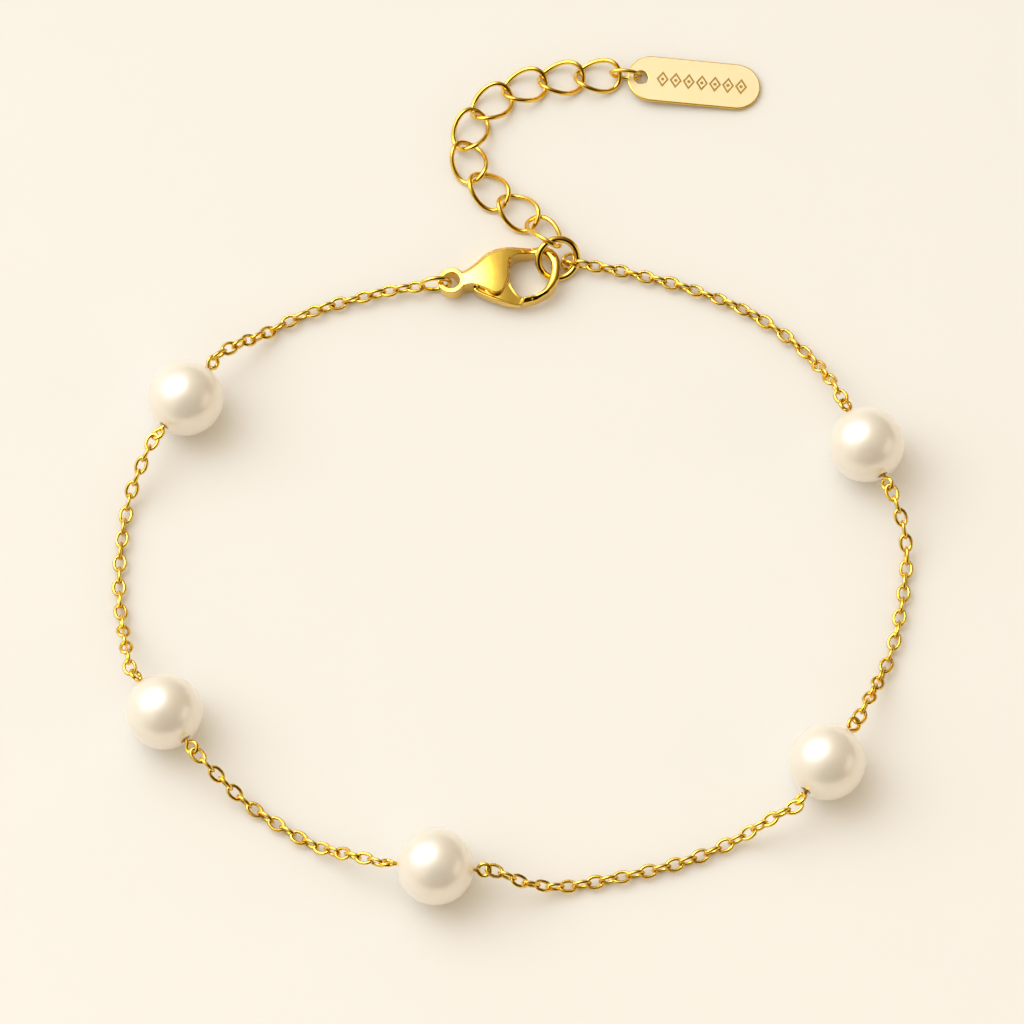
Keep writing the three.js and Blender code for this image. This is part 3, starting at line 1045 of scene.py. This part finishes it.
def cable_chain_tree(link: MeshTree) -> MeshTree:
    """The tree that hangs links along a route, each a quarter turn from the last.

    Args:
        link: The link group.

    Returns:
        The tree.
    """
    tree = MeshTree("cable_chain")
    count, spread = tree.input("Links", "Int"), tree.input("Roll Spread", "Float")
    seed = tree.input("Seed", "Int")
    material = tree.input("Material", "Material")
    shape = link_group(tree, link, LINK_SIZES)
    graph = tree.graph
    curve = graph.add("GeometryNodeMeshToCurve", {"Mesh": tree.source.outputs["Geometry"]})
    even = graph.add("GeometryNodeResampleCurve", {"Curve": curve.outputs[0], "Count": count})
    points = graph.add("GeometryNodeCurveToPoints", {"Curve": even.outputs[0]}, mode="EVALUATED")
    index = graph.add("GeometryNodeInputIndex").outputs[0]
    quarter = graph.sum("MULTIPLY", graph.sum("MODULO", index, 2.0), math.pi / 2)
    stray = graph.add(
        "FunctionNodeRandomValue",
        {"Min": graph.sum("MULTIPLY", spread, -1.0), "Max": spread, "Seed": seed},
        data_type="FLOAT",
    )
    roll = graph.sum("ADD", quarter, next(o for o in stray.outputs if o.enabled))
    ahead = graph.add(
        "FunctionNodeAxesToRotation",
        {"Primary Axis": points.outputs["Tangent"], "Secondary Axis": (0.0, 0.0, 1.0)},
        primary_axis="X",
        secondary_axis="Z",
    )
    about = graph.add("FunctionNodeAxisAngleToRotation", {"Axis": (1.0, 0.0, 0.0), "Angle": roll})
    turn = graph.add(
        "FunctionNodeRotateRotation",
        {"Rotation": ahead.outputs[0], "Rotate By": about.outputs[0]},
        rotation_space="LOCAL",
    )
    hung = graph.add(
        "GeometryNodeInstanceOnPoints",
        {"Points": points.outputs[0], "Instance": shape.outputs[0], "Rotation": turn.outputs[0]},
    )
    tree.end(hung.outputs[0], material)
    return tree


def laid_link_tree(link: MeshTree) -> MeshTree:
    """The tree that puts a link at every point of a mesh, turned as the point's own attribute says.

    Args:
        link: The link group.

    Returns:
        The tree.
    """
    tree = MeshTree("laid_links")
    material = tree.input("Material", "Material")
    shape = link_group(tree, link, LINK_SIZES)
    graph = tree.graph
    turn = graph.add("GeometryNodeInputNamedAttribute", {"Name": "turn"}, data_type="FLOAT_VECTOR").outputs[0]
    laid = graph.add(
        "GeometryNodeInstanceOnPoints",
        {
            "Points": tree.source.outputs["Geometry"],
            "Instance": shape.outputs[0],
            "Rotation": graph.add("FunctionNodeEulerToRotation", {0: turn}).outputs[0],
        },
    )
    tree.end(laid.outputs[0], material)
    return tree


@dataclass(frozen=True)
class LinkSizes:
    """Outer sizes of a link in millimetres, and its facets."""

    length: float
    width: float
    wire: float
    twist: float = 0.0
    steps: int = 64
    sides: int = 12

    def values(self) -> dict[str, object]:
        """The sizes as a tree's inputs, in metres."""
        return {
            "Length": self.length * MM,
            "Width": self.width * MM,
            "Wire": self.wire * MM,
            "Twist": self.twist / MM,
            "Steps": self.steps,
            "Sides": self.sides,
        }


@dataclass
class CableChain:
    """The six runs of fine cable chain between the clasp, the pearls and the end ring."""

    pearls: list[StrungPearl]
    tree: MeshTree
    material: bpy.types.Material
    link: LinkSizes = LinkSizes(1.92, 1.38, 0.35, 0.0, 14, 5)
    pitch: float = 1.215  # aimed at; each run alters it a little to fit a whole number of links
    rest: float = 0.70  # height of its middle where it lies
    drop: float = 7.0  # the way over which it comes down from each end
    roll_spread: float = 13.0  # degrees that a link may stray from its quarter turn
    route_steps: int = 24
    first_seed: int = 3
    tail_start: Spot = (-9.05, 22.5, 1.0)
    ring_finish: Spot = (6.65, 24.9, 0.9)
    routes: tuple[tuple[Place, ...], ...] = (
        ((-11.7, 22.1), (-16.4, 20.9), (-20.9, 19.1), (-24.2, 16.8)),
        ((-34.5, 3.1), (-35.5, 0.6), (-36.1, -3.6), (-36.2, -8.3), (-35.7, -12.4)),
        ((-27.0, -26.9), (-23.7, -29.5), (-19.2, -32.5), (-15.1, -34.6)),
        ((1.3, -37.4), (5.9, -37.0), (10.9, -36.0), (15.8, -34.7), (20.4, -32.7)),
        ((33.5, -17.6), (34.9, -14.0), (35.8, -10.1), (36.4, -5.8), (36.2, -2.8)),
        ((28.2, 14.8), (25.5, 17.7), (21.5, 20.4), (16.3, 22.6), (10.9, 24.1)),
    )

    def height(self, places: np.ndarray, ends: tuple) -> np.ndarray:
        """How high the chain lies: down from each end to its rest.

        Args:
            places: Points in the plan.
            ends: The run's two ends.

        Returns:
            The heights.
        """
        z = np.full(len(places), self.rest)
        for end in ends:
            t = np.clip(np.hypot(places[:, 0] - end[0], places[:, 1] - end[1]) / self.drop, 0, 1)
            z += (end[2] - self.rest) * (1 - t * t * (3 - 2 * t))
        return z

    def route(self, number: int) -> np.ndarray:
        """A run's centreline.

        Args:
            number: Which run, from 0.

        Returns:
            Its points in layout millimetres.
        """
        start = self.tail_start if number == 0 else self.pearls[number - 1].chain_end(1)
        finish = self.ring_finish if number == len(self.pearls) else self.pearls[number].chain_end(-1)
        plan = smooth_line([start[:2], *self.routes[number], finish[:2]], self.route_steps)
        return np.column_stack([plan, self.height(plan, (start, finish))])

    def build(self) -> None:
        """Hangs every run."""
        for number in range(len(self.routes)):
            line = self.route(number)
            length = np.linalg.norm(np.diff(line, axis=0), axis=1).sum()
            count = round(length / self.pitch) + 1
            mesh = bpy.data.meshes.new("route")
            points = (line + (0.0, LOOP_CENTRE_Y, 0.0)) * MM
            mesh.from_pydata(points.tolist(), [(i, i + 1) for i in range(len(points) - 1)], [])
            values = {
                **self.link.values(),
                "Links": count,
                "Roll Spread": math.radians(self.roll_spread),
                "Seed": number + self.first_seed,
                "Material": self.material,
            }
            run = self.tree.run(mesh, f"cable_chain_run_{number + 1}", values)
            LOG.info("run %d: %d links at %.3f mm", number + 1, count, length / (count - 1))
            keep(run, Body.ANKLET, Slot.CHAIN_GOLD, f"chain_{number + 1}")


@dataclass
class ExtensionChain:
    """The extension chain's nine oval links, the jump rings and the end ring.

    The last of the centres, end_link and end_ring repeat the CAD's values, which a random search found.
    """

    tree: MeshTree
    chain_gold: bpy.types.Material
    bright_gold: bpy.types.Material
    link: LinkSizes = LinkSizes(4.7, 3.6, 0.46, 0.34, 72, 12)
    link_height: float = 0.83
    centres: tuple[Place, ...] = (
        (8.16, 44.7),
        (4.7, 44.45),
        (1.2, 43.6),
        (-1.9, 41.8),
        (-3.9, 38.95),
        (-4.05, 35.65),
        (-2.15, 32.7),
        (0.62, 30.48),
    )
    end_link: tuple[LinkSizes, Attitude] = (
        LinkSizes(5.35, 3.45, 0.46, -0.17, 72, 12),
        Attitude(3.05, 27.86, 1.92, -65.2, -28.0, -28.8),
    )
    tag_ring: tuple[LinkSizes, Attitude] = (
        LinkSizes(3.2, 2.3, 0.4, 0.0, 56, 10),
        Attitude(10.8, 44.75, 1.15, -5.0, 3.0, 95.0),
    )
    end_ring: tuple[LinkSizes, Attitude] = (
        LinkSizes(4.45, 4.45, 0.65, 0.0, 72, 16),
        Attitude(4.3, 25.19, 1.58, 26.7, -2.6, 40.6),
    )
    clasp_ring: tuple[LinkSizes, Attitude] = (
        LinkSizes(3.2, 2.6, 0.44, 0.0, 64, 12),
        Attitude(-7.2, 22.7, 1.3, 6.0, 0.0, 86.0),
    )
    slack_link: LinkSizes = LinkSizes(1.92, 1.38, 0.35, 0.0, 14, 6)
    slack_places: tuple[Attitude, ...] = (
        Attitude(5.32, 25.45, 0.42, 72.0, 0.0, 12.0),
        Attitude(5.55, 24.95, 0.86, 152.0, 0.0, 80.0),
    )

    def lay(
        self, name: str, sizes: LinkSizes, places: list[Attitude], material: bpy.types.Material
    ) -> bpy.types.Object:
        """Lays links of one size.

        Args:
            name: Name of the piece.
            sizes: The link's sizes.
            places: Where each lies.
            material: Their finish.

        Returns:
            The piece.
        """
        mesh = bpy.data.meshes.new("centres")
        mesh.from_pydata([tuple(p.matrix().translation) for p in places], [], [])
        turn = mesh.attributes.new("turn", "FLOAT_VECTOR", "POINT")
        turn.data.foreach_set("vector", [a for p in places for a in p.turn().to_euler("XYZ")])
        return self.tree.run(mesh, name, {**sizes.values(), "Material": material})

    def build(self) -> None:
        """Makes the links and rings."""
        ends = [self.centres[0], *self.centres, (self.end_link[1].x, self.end_link[1].y)]
        places = [
            Attitude(*at, self.link_height, heading_of(before, after))
            for before, at, after in zip(ends, self.centres, ends[2:])
        ]
        links = self.lay("extension_links", self.link, places, self.chain_gold)
        nodes = [f"extender_link_{i + 1}" for i in range(len(places))]
        keep(links, Body.ANKLET, Slot.CHAIN_GOLD, *nodes)
        for name, (sizes, place), material, slot, node in (
            ("extension_end_link", self.end_link, self.chain_gold, Slot.CHAIN_GOLD, "extender_link_9"),
            ("tag_jump_ring", self.tag_ring, self.chain_gold, Slot.CHAIN_GOLD, "tag_ring"),
            ("closing_ring", self.end_ring, self.bright_gold, Slot.BRIGHT_GOLD, "end_ring"),
            ("clasp_jump_ring", self.clasp_ring, self.bright_gold, Slot.BRIGHT_GOLD, "clasp_ring"),
        ):
            keep(self.lay(name, sizes, [place], material), Body.ANKLET, slot, node)
        slack = self.lay("slack_chain_links", self.slack_link, list(self.slack_places), self.chain_gold)
        keep(slack, Body.ANKLET, Slot.CHAIN_GOLD)


# ---- Cast clasp ----------------------------------------------------------------------------------


@dataclass(frozen=True)
class Outline:
    """A closed outline in millimetres, smooth along each stretch of points and straight between stretches."""

    stretches: tuple[tuple[Place, ...], ...]
    steps: int = 8

    def corners(self) -> np.ndarray:
        """The outline's corners."""
        return np.vstack([smooth_line(list(s), self.steps) for s in self.stretches])

    def distance(self, x: np.ndarray, y: np.ndarray) -> np.ndarray:
        """Signed distance in the plan, negative inside.

        Args:
            x: Places along X.
            y: Places along Y.

        Returns:
            The distances.
        """
        corners = self.corners()
        nearest = np.full(np.broadcast(x, y).shape, np.inf)
        inside = np.zeros(nearest.shape, bool)
        for (ax, ay), (bx, by) in zip(corners, np.roll(corners, -1, axis=0)):
            ex, ey = bx - ax, by - ay
            reach = ex * ex + ey * ey
            if reach == 0:
                continue
            t = np.clip(((x - ax) * ex + (y - ay) * ey) / reach, 0, 1)
            nearest = np.minimum(nearest, (x - ax - t * ex) ** 2 + (y - ay - t * ey) ** 2)
            crosses = (ay > y) != (by > y)
            if ay != by:
                inside ^= crosses & (x < ax + (y - ay) * ex / ey)
        return np.where(inside, -1, 1) * np.sqrt(nearest)


def ease(value: np.ndarray, low: float, high: float) -> np.ndarray:
    """A smooth step from 0 at low to 1 at high."""
    t = np.clip((value - low) / (high - low), 0, 1)
    return t * t * (3 - 2 * t)


def slab_field(edge: np.ndarray, z: np.ndarray, low: Level, high: Level, rounding: float) -> np.ndarray:
    """Signed distance to a slab with rounded edges.

    Args:
        edge: Signed distance to its outline in the plan.
        z: Heights.
        low: Its underside.
        high: Its top.
        rounding: Radius of its edges.

    Returns:
        The distances.
    """
    across = edge + rounding
    upright = np.abs(z - (high + low) / 2) - (high - low) / 2 + rounding
    outside = np.hypot(np.maximum(across, 0), np.maximum(upright, 0))
    return outside + np.minimum(np.maximum(across, upright), 0) - rounding


def merge(a: np.ndarray, b: np.ndarray, blend: float) -> np.ndarray:
    """Two solids run together with a fillet of about the blend's size."""
    h = np.clip(0.5 + 0.5 * (b - a) / blend, 0, 1)
    return b + (a - b) * h - blend * h * (1 - h)


def cut(a: np.ndarray, b: np.ndarray, blend: float) -> np.ndarray:
    """The first solid with the second taken out, its edges eased."""
    return -merge(-a, b, blend)


def cast(field_of: Field, box: tuple[Spot, Spot], step: float) -> tuple[np.ndarray, np.ndarray]:
    """Skins a solid given by its field with even quads.

    Args:
        field_of: Gives the signed distance at places x, y and z.
        box: Lowest and highest corner of the space to look in.
        step: Size of the quads.

    Returns:
        Points and quads, facing outwards.
    """
    axes = [np.arange(a, b + step, step) for a, b in zip(*box)]
    value = field_of(axes[0][:, None, None], axes[1][None, :, None], axes[2][None, None, :])
    inside = value < 0
    shape = tuple(n - 1 for n in value.shape)

    def corner(array: np.ndarray, at: tuple) -> np.ndarray:
        """One corner of every cell."""
        return array[tuple(slice(o, o + n) for o, n in zip(at, shape))]

    count = sum(corner(inside, at).astype(np.int8) for at in product((0, 1), repeat=3))
    active = (count > 0) & (count < 8)
    number = np.full(shape, -1)
    number[active] = np.arange(active.sum())
    total, hits = np.zeros((active.sum(), 3)), np.zeros(active.sum())
    for start in product((0, 1), repeat=3):
        for axis in range(3):
            if start[axis]:
                continue
            end = tuple(o + (i == axis) for i, o in enumerate(start))
            a, b = corner(value, start)[active], corner(value, end)[active]
            crossed = (a < 0) != (b < 0)
            share = np.where(crossed, a / np.where(crossed, a - b, 1.0), 0.0)
            spot = np.tile(np.array(start, float), (len(a), 1))
            spot[:, axis] += share
            total += spot * crossed[:, None]
            hits += crossed
    points = (np.argwhere(active) + total / hits[:, None]) * step + [a[0] for a in axes]
    quads = []
    for axis in range(3):
        u, v = (axis + 1) % 3, (axis + 2) % 3
        first = tuple(slice(1 if i != axis else 0, -1) for i in range(3))
        ahead = tuple(slice(1, -1 if i != axis else None) for i in range(3))
        a, b = inside[first], inside[ahead]
        at = np.argwhere(a != b) + [1 if i != axis else 0 for i in range(3)]
        out = a[a != b]
        ring = []
        for du, dv in ((0, 0), (-1, 0), (-1, -1), (0, -1)):
            cell = at.copy()
            cell[:, u] += du
            cell[:, v] += dv
            ring.append(number[tuple(cell.T)])
        quad = np.column_stack(ring)
        quad[~out] = quad[~out][:, ::-1]
        quads.append(quad)
    return settle(field_of, points, step), np.vstack(quads)


SETTLE_ROUNDS = 2
SLOPE_REACH = 0.2  # how far apart a slope is measured, in steps
LEAST_SLOPE = 0.2  # squared; limits a point's move where a field is nearly level


def settle(field_of: Field, points: np.ndarray, step: float) -> np.ndarray:
    """Draws points on to the zero level of a field.

    Args:
        field_of: Gives the signed distance.
        points: The points.
        step: Size of the quads, which limits how far a point moves.

    Returns:
        The points on the surface.
    """
    reach = step * SLOPE_REACH
    for _ in range(SETTLE_ROUNDS):
        x, y, z = points.T
        here = field_of(x, y, z)
        slope = np.column_stack(
            [
                field_of(x + reach, y, z) - here,
                field_of(x, y + reach, z) - here,
                field_of(x, y, z + reach) - here,
            ]
        )
        slope /= reach
        move = -here[:, None] * slope / np.maximum((slope**2).sum(axis=1), LEAST_SLOPE)[:, None]
        points = points + np.clip(move, -step / 2, step / 2)
    return points


BODY_EDGE = (
    (5.36, -0.05),
    (5.2, -0.62),
    (4.92, -1.18),
    (4.62, -1.62),
    (4.2, -1.8),
    (3.77, -1.74),
    (3.27, -1.39),
    (2.66, -1.02),
    (2.15, -0.76),
    (1.55, -0.64),
    (0.9, -0.8),
)
BACK_EDGE = (
    (0.6, 0.9),
    (1.3, 0.97),
    (1.92, 1.25),
    (2.62, 1.72),
    (3.33, 2.3),
    (4.05, 2.66),
    (4.95, 2.9),
    (5.8, 2.95),
    (6.75, 2.9),
    (7.6, 2.82),
    (8.8, 2.66),
    (9.65, 2.3),
    (10.15, 1.75),
    (10.35, 1.0),
    (10.3, 0.2),
    (10.1, -0.7),
    (9.75, -1.42),
    (9.05, -2.13),
    (8.1, -2.62),
    (7.3, -2.85),
    (6.0, -3.0),
)
MOUTH_EDGE = (
    (6.0, -2.4),
    (7.38, -2.3),
    (7.94, -2.15),
    (8.53, -1.74),
    (9.0, -1.0),
    (9.33, -0.2),
    (9.47, 0.5),
    (9.38, 1.15),
    (8.95, 1.72),
    (8.1, 2.0),
    (7.3, 2.06),
    (6.35, 1.93),
    (5.78, 1.42),
    (5.6, 0.66),
)
LEVER_EDGE = (
    (3.6, -0.2),
    (4.3, 0.1),
    (4.95, 0.1),
    (5.33, -0.35),
    (5.62, -1.05),
    (5.98, -1.75),
    (6.42, -2.15),
    (7.0, -2.3),
)
LEVER_THUMB_EDGE = (
    (7.0, -3.0),
    (6.4, -3.02),
    (5.85, -3.0),
    (4.75, -2.7),
    (3.7, -2.22),
    (2.7, -1.64),
    (2.1, -1.2),
    (2.05, -0.95),
    (2.5, -0.75),
    (2.95, -0.45),
    (3.6, -0.2),
)


@dataclass
class LobsterClasp:
    """The lobster clasp: a cast body with its hook, and the lever on a rivet.

    Its tail eye is at its own origin. A span is where a change starts and ends.
    """

    gold: bpy.types.Material
    place: Attitude = Attitude(-5.67, 22.84, 0.0, 6.0)
    height: float = 2.3
    hook: Place = (0.5, 2.0)  # underside and top of the hook
    hook_span: Place = (7.3, 9.0)  # from plate to hook, along X
    hook_crown: Place = (0.2, 0.4)  # its fall at the edge, and how far in from there
    nose_spans: tuple[Place, Place] = ((5.45, 5.75), (0.9, 1.5))  # the hook's tip, along X and along Y
    ring_way: Spot = (1.05, -0.15, 1.1)  # raised underside, where along Y, and how far
    ring_way_span: Place = (8.2, 8.6)  # along X
    eye_outer: float = 1.3
    eye_hole: float = 0.78
    eye: Place = (0.72, 1.8)  # underside and top of the tail eye
    eye_round: float = 0.1
    eye_to_neck: Place = (-0.7, 0.8)  # span along X
    eye_growth: Place = (0.6, 0.12)  # how much lower and higher it is at the neck
    neck_overlap: float = 0.2  # how far the neck runs into the eye
    neck_fillet: float = 0.12
    hole_ease: float = 0.05
    edge_round: float = 0.09
    bevel: Place = (0.34, 0.5)  # depth and width of the bevel along the back
    dome: Spot = (0.045, 3.7, 0.03)  # fall along X, middle in X, and fall across
    dome_middle: float = 0.9
    step_line: tuple[Place, ...] = ((5.3, -0.3), (5.34, 0.3), (5.4, 0.8), (5.5, 1.3), (5.6, 1.9))
    step: Place = (0.18, 0.14)  # its depth and its width
    step_fade: Place = (0.9, 1.8)  # span along Y
    slot: Place = (0.6, 1.7)
    slot_round: float = 0.08
    slot_ease: float = 0.04
    lever: Place = (0.7, 1.6)
    lever_round: float = 0.06
    lever_fall: float = 0.42
    lever_fall_span: Place = (3.9, 7.2)
    lever_rim: float = 0.06
    lever_rim_span: Place = (-0.22, -0.12)  # from its edge
    pivot: Place = (3.6, -1.0)
    pivot_bore: float = 0.37
    tip_reach: float = 3.3
    tip_clear: float = 0.08
    tip_corner: Place = (5.5, -1.9)  # the room for the lever's tip is past this in X and below it in Y
    tip_ease: float = 0.03
    body_box: tuple[Spot, Spot] = ((-1.5, -3.3, -0.15), (10.7, 3.3, 2.5))
    body_step: float = 0.05
    lever_box: tuple[Spot, Spot] = ((1.8, -3.3, 0.5), (7.2, 0.4, 1.8))
    lever_step: float = 0.045
    edge: Outline = Outline((BODY_EDGE, BACK_EDGE, MOUTH_EDGE))
    lever_outline: Outline = Outline((LEVER_EDGE, LEVER_THUMB_EDGE))
    slot_outline: Outline = Outline(
        (((2.03, -4.0), (5.65, -4.0)), ((5.65, 0.75), (2.9, 0.75)), ((2.03, 0.1), (2.03, -4.0)))
    )

    def line_reach(self, line: tuple[Place, ...], x: np.ndarray, y: np.ndarray) -> np.ndarray:
        """Distance in the plan from an open line.

        Args:
            line: Its points.
            x: Places along X.
            y: Places along Y.

        Returns:
            The distances.
        """
        reach = np.full(np.broadcast(x, y).shape, np.inf)
        for (ax, ay), (bx, by) in zip(line, line[1:]):
            ex, ey = bx - ax, by - ay
            t = np.clip(((x - ax) * ex + (y - ay) * ey) / (ex * ex + ey * ey), 0, 1)
            reach = np.minimum(reach, np.hypot(x - ax - t * ex, y - ay - t * ey))
        return reach

    def body_field(self, x: np.ndarray, y: np.ndarray, z: np.ndarray) -> np.ndarray:
        """Signed distance to the cast body.

        Args:
            x: Places along X.
            y: Places along Y.
            z: Heights.

        Returns:
            The distances.
        """
        edge = self.edge.distance(x, y)
        turn = ease(x, *self.hook_span)
        nose_x, nose_y = self.nose_spans
        nose = ease(x, *nose_x) * (1 - ease(y, *nose_y))
        thin = np.maximum(turn, nose)
        fall = self.dome[0] * (x - self.dome[1]) ** 2 + self.dome[2] * (y - self.dome_middle) ** 2
        back = self.line_reach(BACK_EDGE, x, y)
        bevel = self.bevel[0] * (1 - ease(back, 0.0, self.bevel[1])) * (1 - turn)
        crown_fall, crown_reach = self.hook_crown
        crown = crown_fall * (1 - np.clip(-edge / crown_reach, 0, 1)) ** 2 * thin
        top = self.height - fall * (1 - thin) - bevel - crown
        line_x, line_y = zip(*self.step_line)
        depth, width = self.step
        ledge = depth * ease(x - np.interp(y, line_y, line_x), 0.0, width) * (1 - ease(y, *self.step_fade))
        high = top - (self.height - self.hook[1]) * thin - ledge * (1 - thin)
        underside, middle, reach = self.ring_way
        way = 1 - ease(np.abs(y - middle), reach / 2, reach)
        hook_low = self.hook[0] + (underside - self.hook[0]) * way * ease(x, *self.ring_way_span)
        solid = slab_field(edge, z, hook_low * thin, high, self.edge_round)
        return self.with_room(self.with_eye(solid, x, y, z), x, y, z)

    def with_eye(self, solid: np.ndarray, x: np.ndarray, y: np.ndarray, z: np.ndarray) -> np.ndarray:
        """Joins the tail eye on.

        Args:
            solid: Signed distance to the plate, neck and hook.
            x: Places along X.
            y: Places along Y.
            z: Heights.

        Returns:
            The distances with the eye.
        """
        radius = np.hypot(x, y)
        mid, half = (self.eye_outer + self.eye_hole) / 2, (self.eye_outer - self.eye_hole) / 2
        rise = ease(x, *self.eye_to_neck)
        lower, higher = self.eye_growth
        low, high = self.eye[0] - lower * rise, self.eye[1] + higher * rise
        eye = slab_field(np.abs(radius - mid) - half, z, low, high, self.eye_round)
        solid = np.maximum(solid, self.eye_outer - self.neck_overlap - radius)
        return cut(merge(solid, eye, self.neck_fillet), radius - self.eye_hole, self.hole_ease)

    def with_room(self, solid: np.ndarray, x: np.ndarray, y: np.ndarray, z: np.ndarray) -> np.ndarray:
        """Takes out the lever's slot and the room for its tip.

        Args:
            solid: Signed distance to the plate, neck, hook and eye.
            x: Places along X.
            y: Places along Y.
            z: Heights.

        Returns:
            The distances with both taken out.
        """
        opening = slab_field(self.slot_outline.distance(x, y), z, *self.slot, self.slot_round)
        solid = cut(solid, opening, self.slot_ease)
        reach = np.hypot(x - self.pivot[0], y - self.pivot[1])
        past = np.maximum(self.tip_corner[0] - x, y - self.tip_corner[1])
        swept = np.maximum(reach - self.tip_reach - self.tip_clear, past)
        return cut(solid, swept, self.tip_ease)

    def lever_field(self, x: np.ndarray, y: np.ndarray, z: np.ndarray) -> np.ndarray:
        """Signed distance to the lever.

        Args:
            x: Places along X.
            y: Places along Y.
            z: Heights.

        Returns:
            The distances.
        """
        edge = self.lever_outline.distance(x, y)
        reach = np.hypot(x - self.pivot[0], y - self.pivot[1])
        edge = np.maximum(edge, reach - self.tip_reach)
        edge = np.maximum(edge, self.pivot_bore - reach)
        low, high = self.lever
        past = ease(x, *self.lever_fall_span)
        rim = self.lever_rim * ease(edge, *self.lever_rim_span)
        return slab_field(edge, z, low, high - self.lever_fall * past + rim, self.lever_round)

    def build(self) -> None:
        """Casts the body and the lever."""
        points, quads = cast(self.body_field, self.body_box, self.body_step)
        body = new_piece("clasp_casting", mesh_of(points, quads, self.place.matrix()), self.gold)
        keep(body, Body.ANKLET, Slot.BRIGHT_GOLD, "clasp_body")
        points, quads = cast(self.lever_field, self.lever_box, self.lever_step)
        lever = new_piece("clasp_thumb_lever", mesh_of(points, quads, self.place.matrix()), self.gold)
        keep(lever, Body.LEVER, Slot.BRIGHT_GOLD, "clasp_lever")


# ---- Tag -----------------------------------------------------------------------------------------


@dataclass
class EngravedTag:
    """The flat tag with rounded ends and eased edges; its row of lozenges is in its finish."""

    satin: bpy.types.Material
    length: float = 12.7
    width: float = 4.7
    thick: float = 0.4
    hole: float = 1.3
    hole_inset: float = 1.3
    end_steps: int = 33
    hole_steps: int = 40
    ease: float = 0.08
    ease_steps: int = 3
    sharp: float = 1.0  # radians; an edge that turns more is eased
    flat: float = 0.999  # cosine of the lean past which a face is shaded smooth
    place: Attitude = Attitude(17.3, 44.1, 0.58, -4.6, 3.1)

    def tag_mesh(self) -> bpy.types.Mesh:
        """Cuts the blank and eases its edges; returns its mesh."""
        radius, half = self.width / 2, self.length / 2 - self.width / 2
        turns = np.linspace(-math.pi / 2, math.pi / 2, self.end_steps)
        right = np.column_stack([half + radius * np.cos(turns), radius * np.sin(turns)])
        rim = np.vstack([right, -right])
        ring = 2 * np.pi * np.arange(self.hole_steps) / self.hole_steps
        aside = (self.hole_inset - self.length / 2, 0)
        hole = np.column_stack([np.cos(ring), np.sin(ring)]) * self.hole / 2 + aside
        blank = bmesh.new()
        for loop in (rim, hole):
            corners = [blank.verts.new((*p, -self.thick / 2)) for p in loop]
            for a, b in zip(corners, corners[1:] + corners[:1]):
                blank.edges.new((a, b))
        bmesh.ops.triangle_fill(blank, use_beauty=True, edges=blank.edges[:])
        bottom = blank.faces[:]
        raised = bmesh.ops.extrude_face_region(blank, geom=bottom)
        upper = [v for v in raised["geom"] if isinstance(v, bmesh.types.BMVert)]
        bmesh.ops.translate(blank, vec=(0, 0, self.thick), verts=upper)
        bmesh.ops.recalc_face_normals(blank, faces=blank.faces[:])
        sharp = [e for e in blank.edges if len(e.link_faces) == 2 and e.calc_face_angle() > self.sharp]
        bmesh.ops.bevel(
            blank, geom=sharp, offset=self.ease, segments=self.ease_steps, profile=0.5, affect="EDGES"
        )
        mesh = bpy.data.meshes.new("tag")
        blank.to_mesh(mesh)
        blank.free()
        mesh.transform(self.place.matrix())
        return mesh

    def build(self) -> None:
        """Makes the tag."""
        tag = new_piece("engraved_tag", self.tag_mesh(), self.satin)
        level = self.place.turn().to_3x3().col[2]
        leans = [abs(f.normal.dot(level)) < self.flat for f in tag.data.polygons]
        tag.data.polygons.foreach_set("use_smooth", leans)
        keep(tag, Body.ANKLET, Slot.TAG_GOLD, "tag")


# ---- Assembly ------------------------------------------------------------------------------------

PEARL_PLACES = (  # each its layout place in millimetres and its drilling's heading in degrees
    (-30.3, 10.0, -124.4),
    (-31.7, -21.2, -53.4),
    (-6.9, -36.2, -4.5),
    (28.6, -26.1, 55.3),
    (32.8, 5.3, 115.0),
)


def main() -> None:
    """Builds the anklet and its studio."""
    logging.basicConfig(level=logging.INFO, format="%(name)s: %(message)s", stream=sys.stdout)
    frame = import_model()
    chain_gold = CHAIN_POLISH.material()
    bright_gold = BRIGHT_POLISH.material()
    nacre = Nacre().material()
    satin = SatinGold(EngravedTag.place).material()
    Studio().build(PaleFloor().material())
    pearls = [StrungPearl(i + 1, *place) for i, place in enumerate(PEARL_PLACES)]
    for pearl in pearls:
        pearl.build(nacre, chain_gold)
    link = wire_link_tree()
    CableChain(pearls, cable_chain_tree(link), chain_gold).build()
    ExtensionChain(laid_link_tree(link), chain_gold, bright_gold).build()
    LobsterClasp(bright_gold).build()
    EngravedTag(satin).build()
    rivet = frame["nodes"]["clasp_pivot"]
    rivet.data.materials.clear()
    rivet.data.materials.append(bright_gold)


if __name__ == "__main__":
    main()
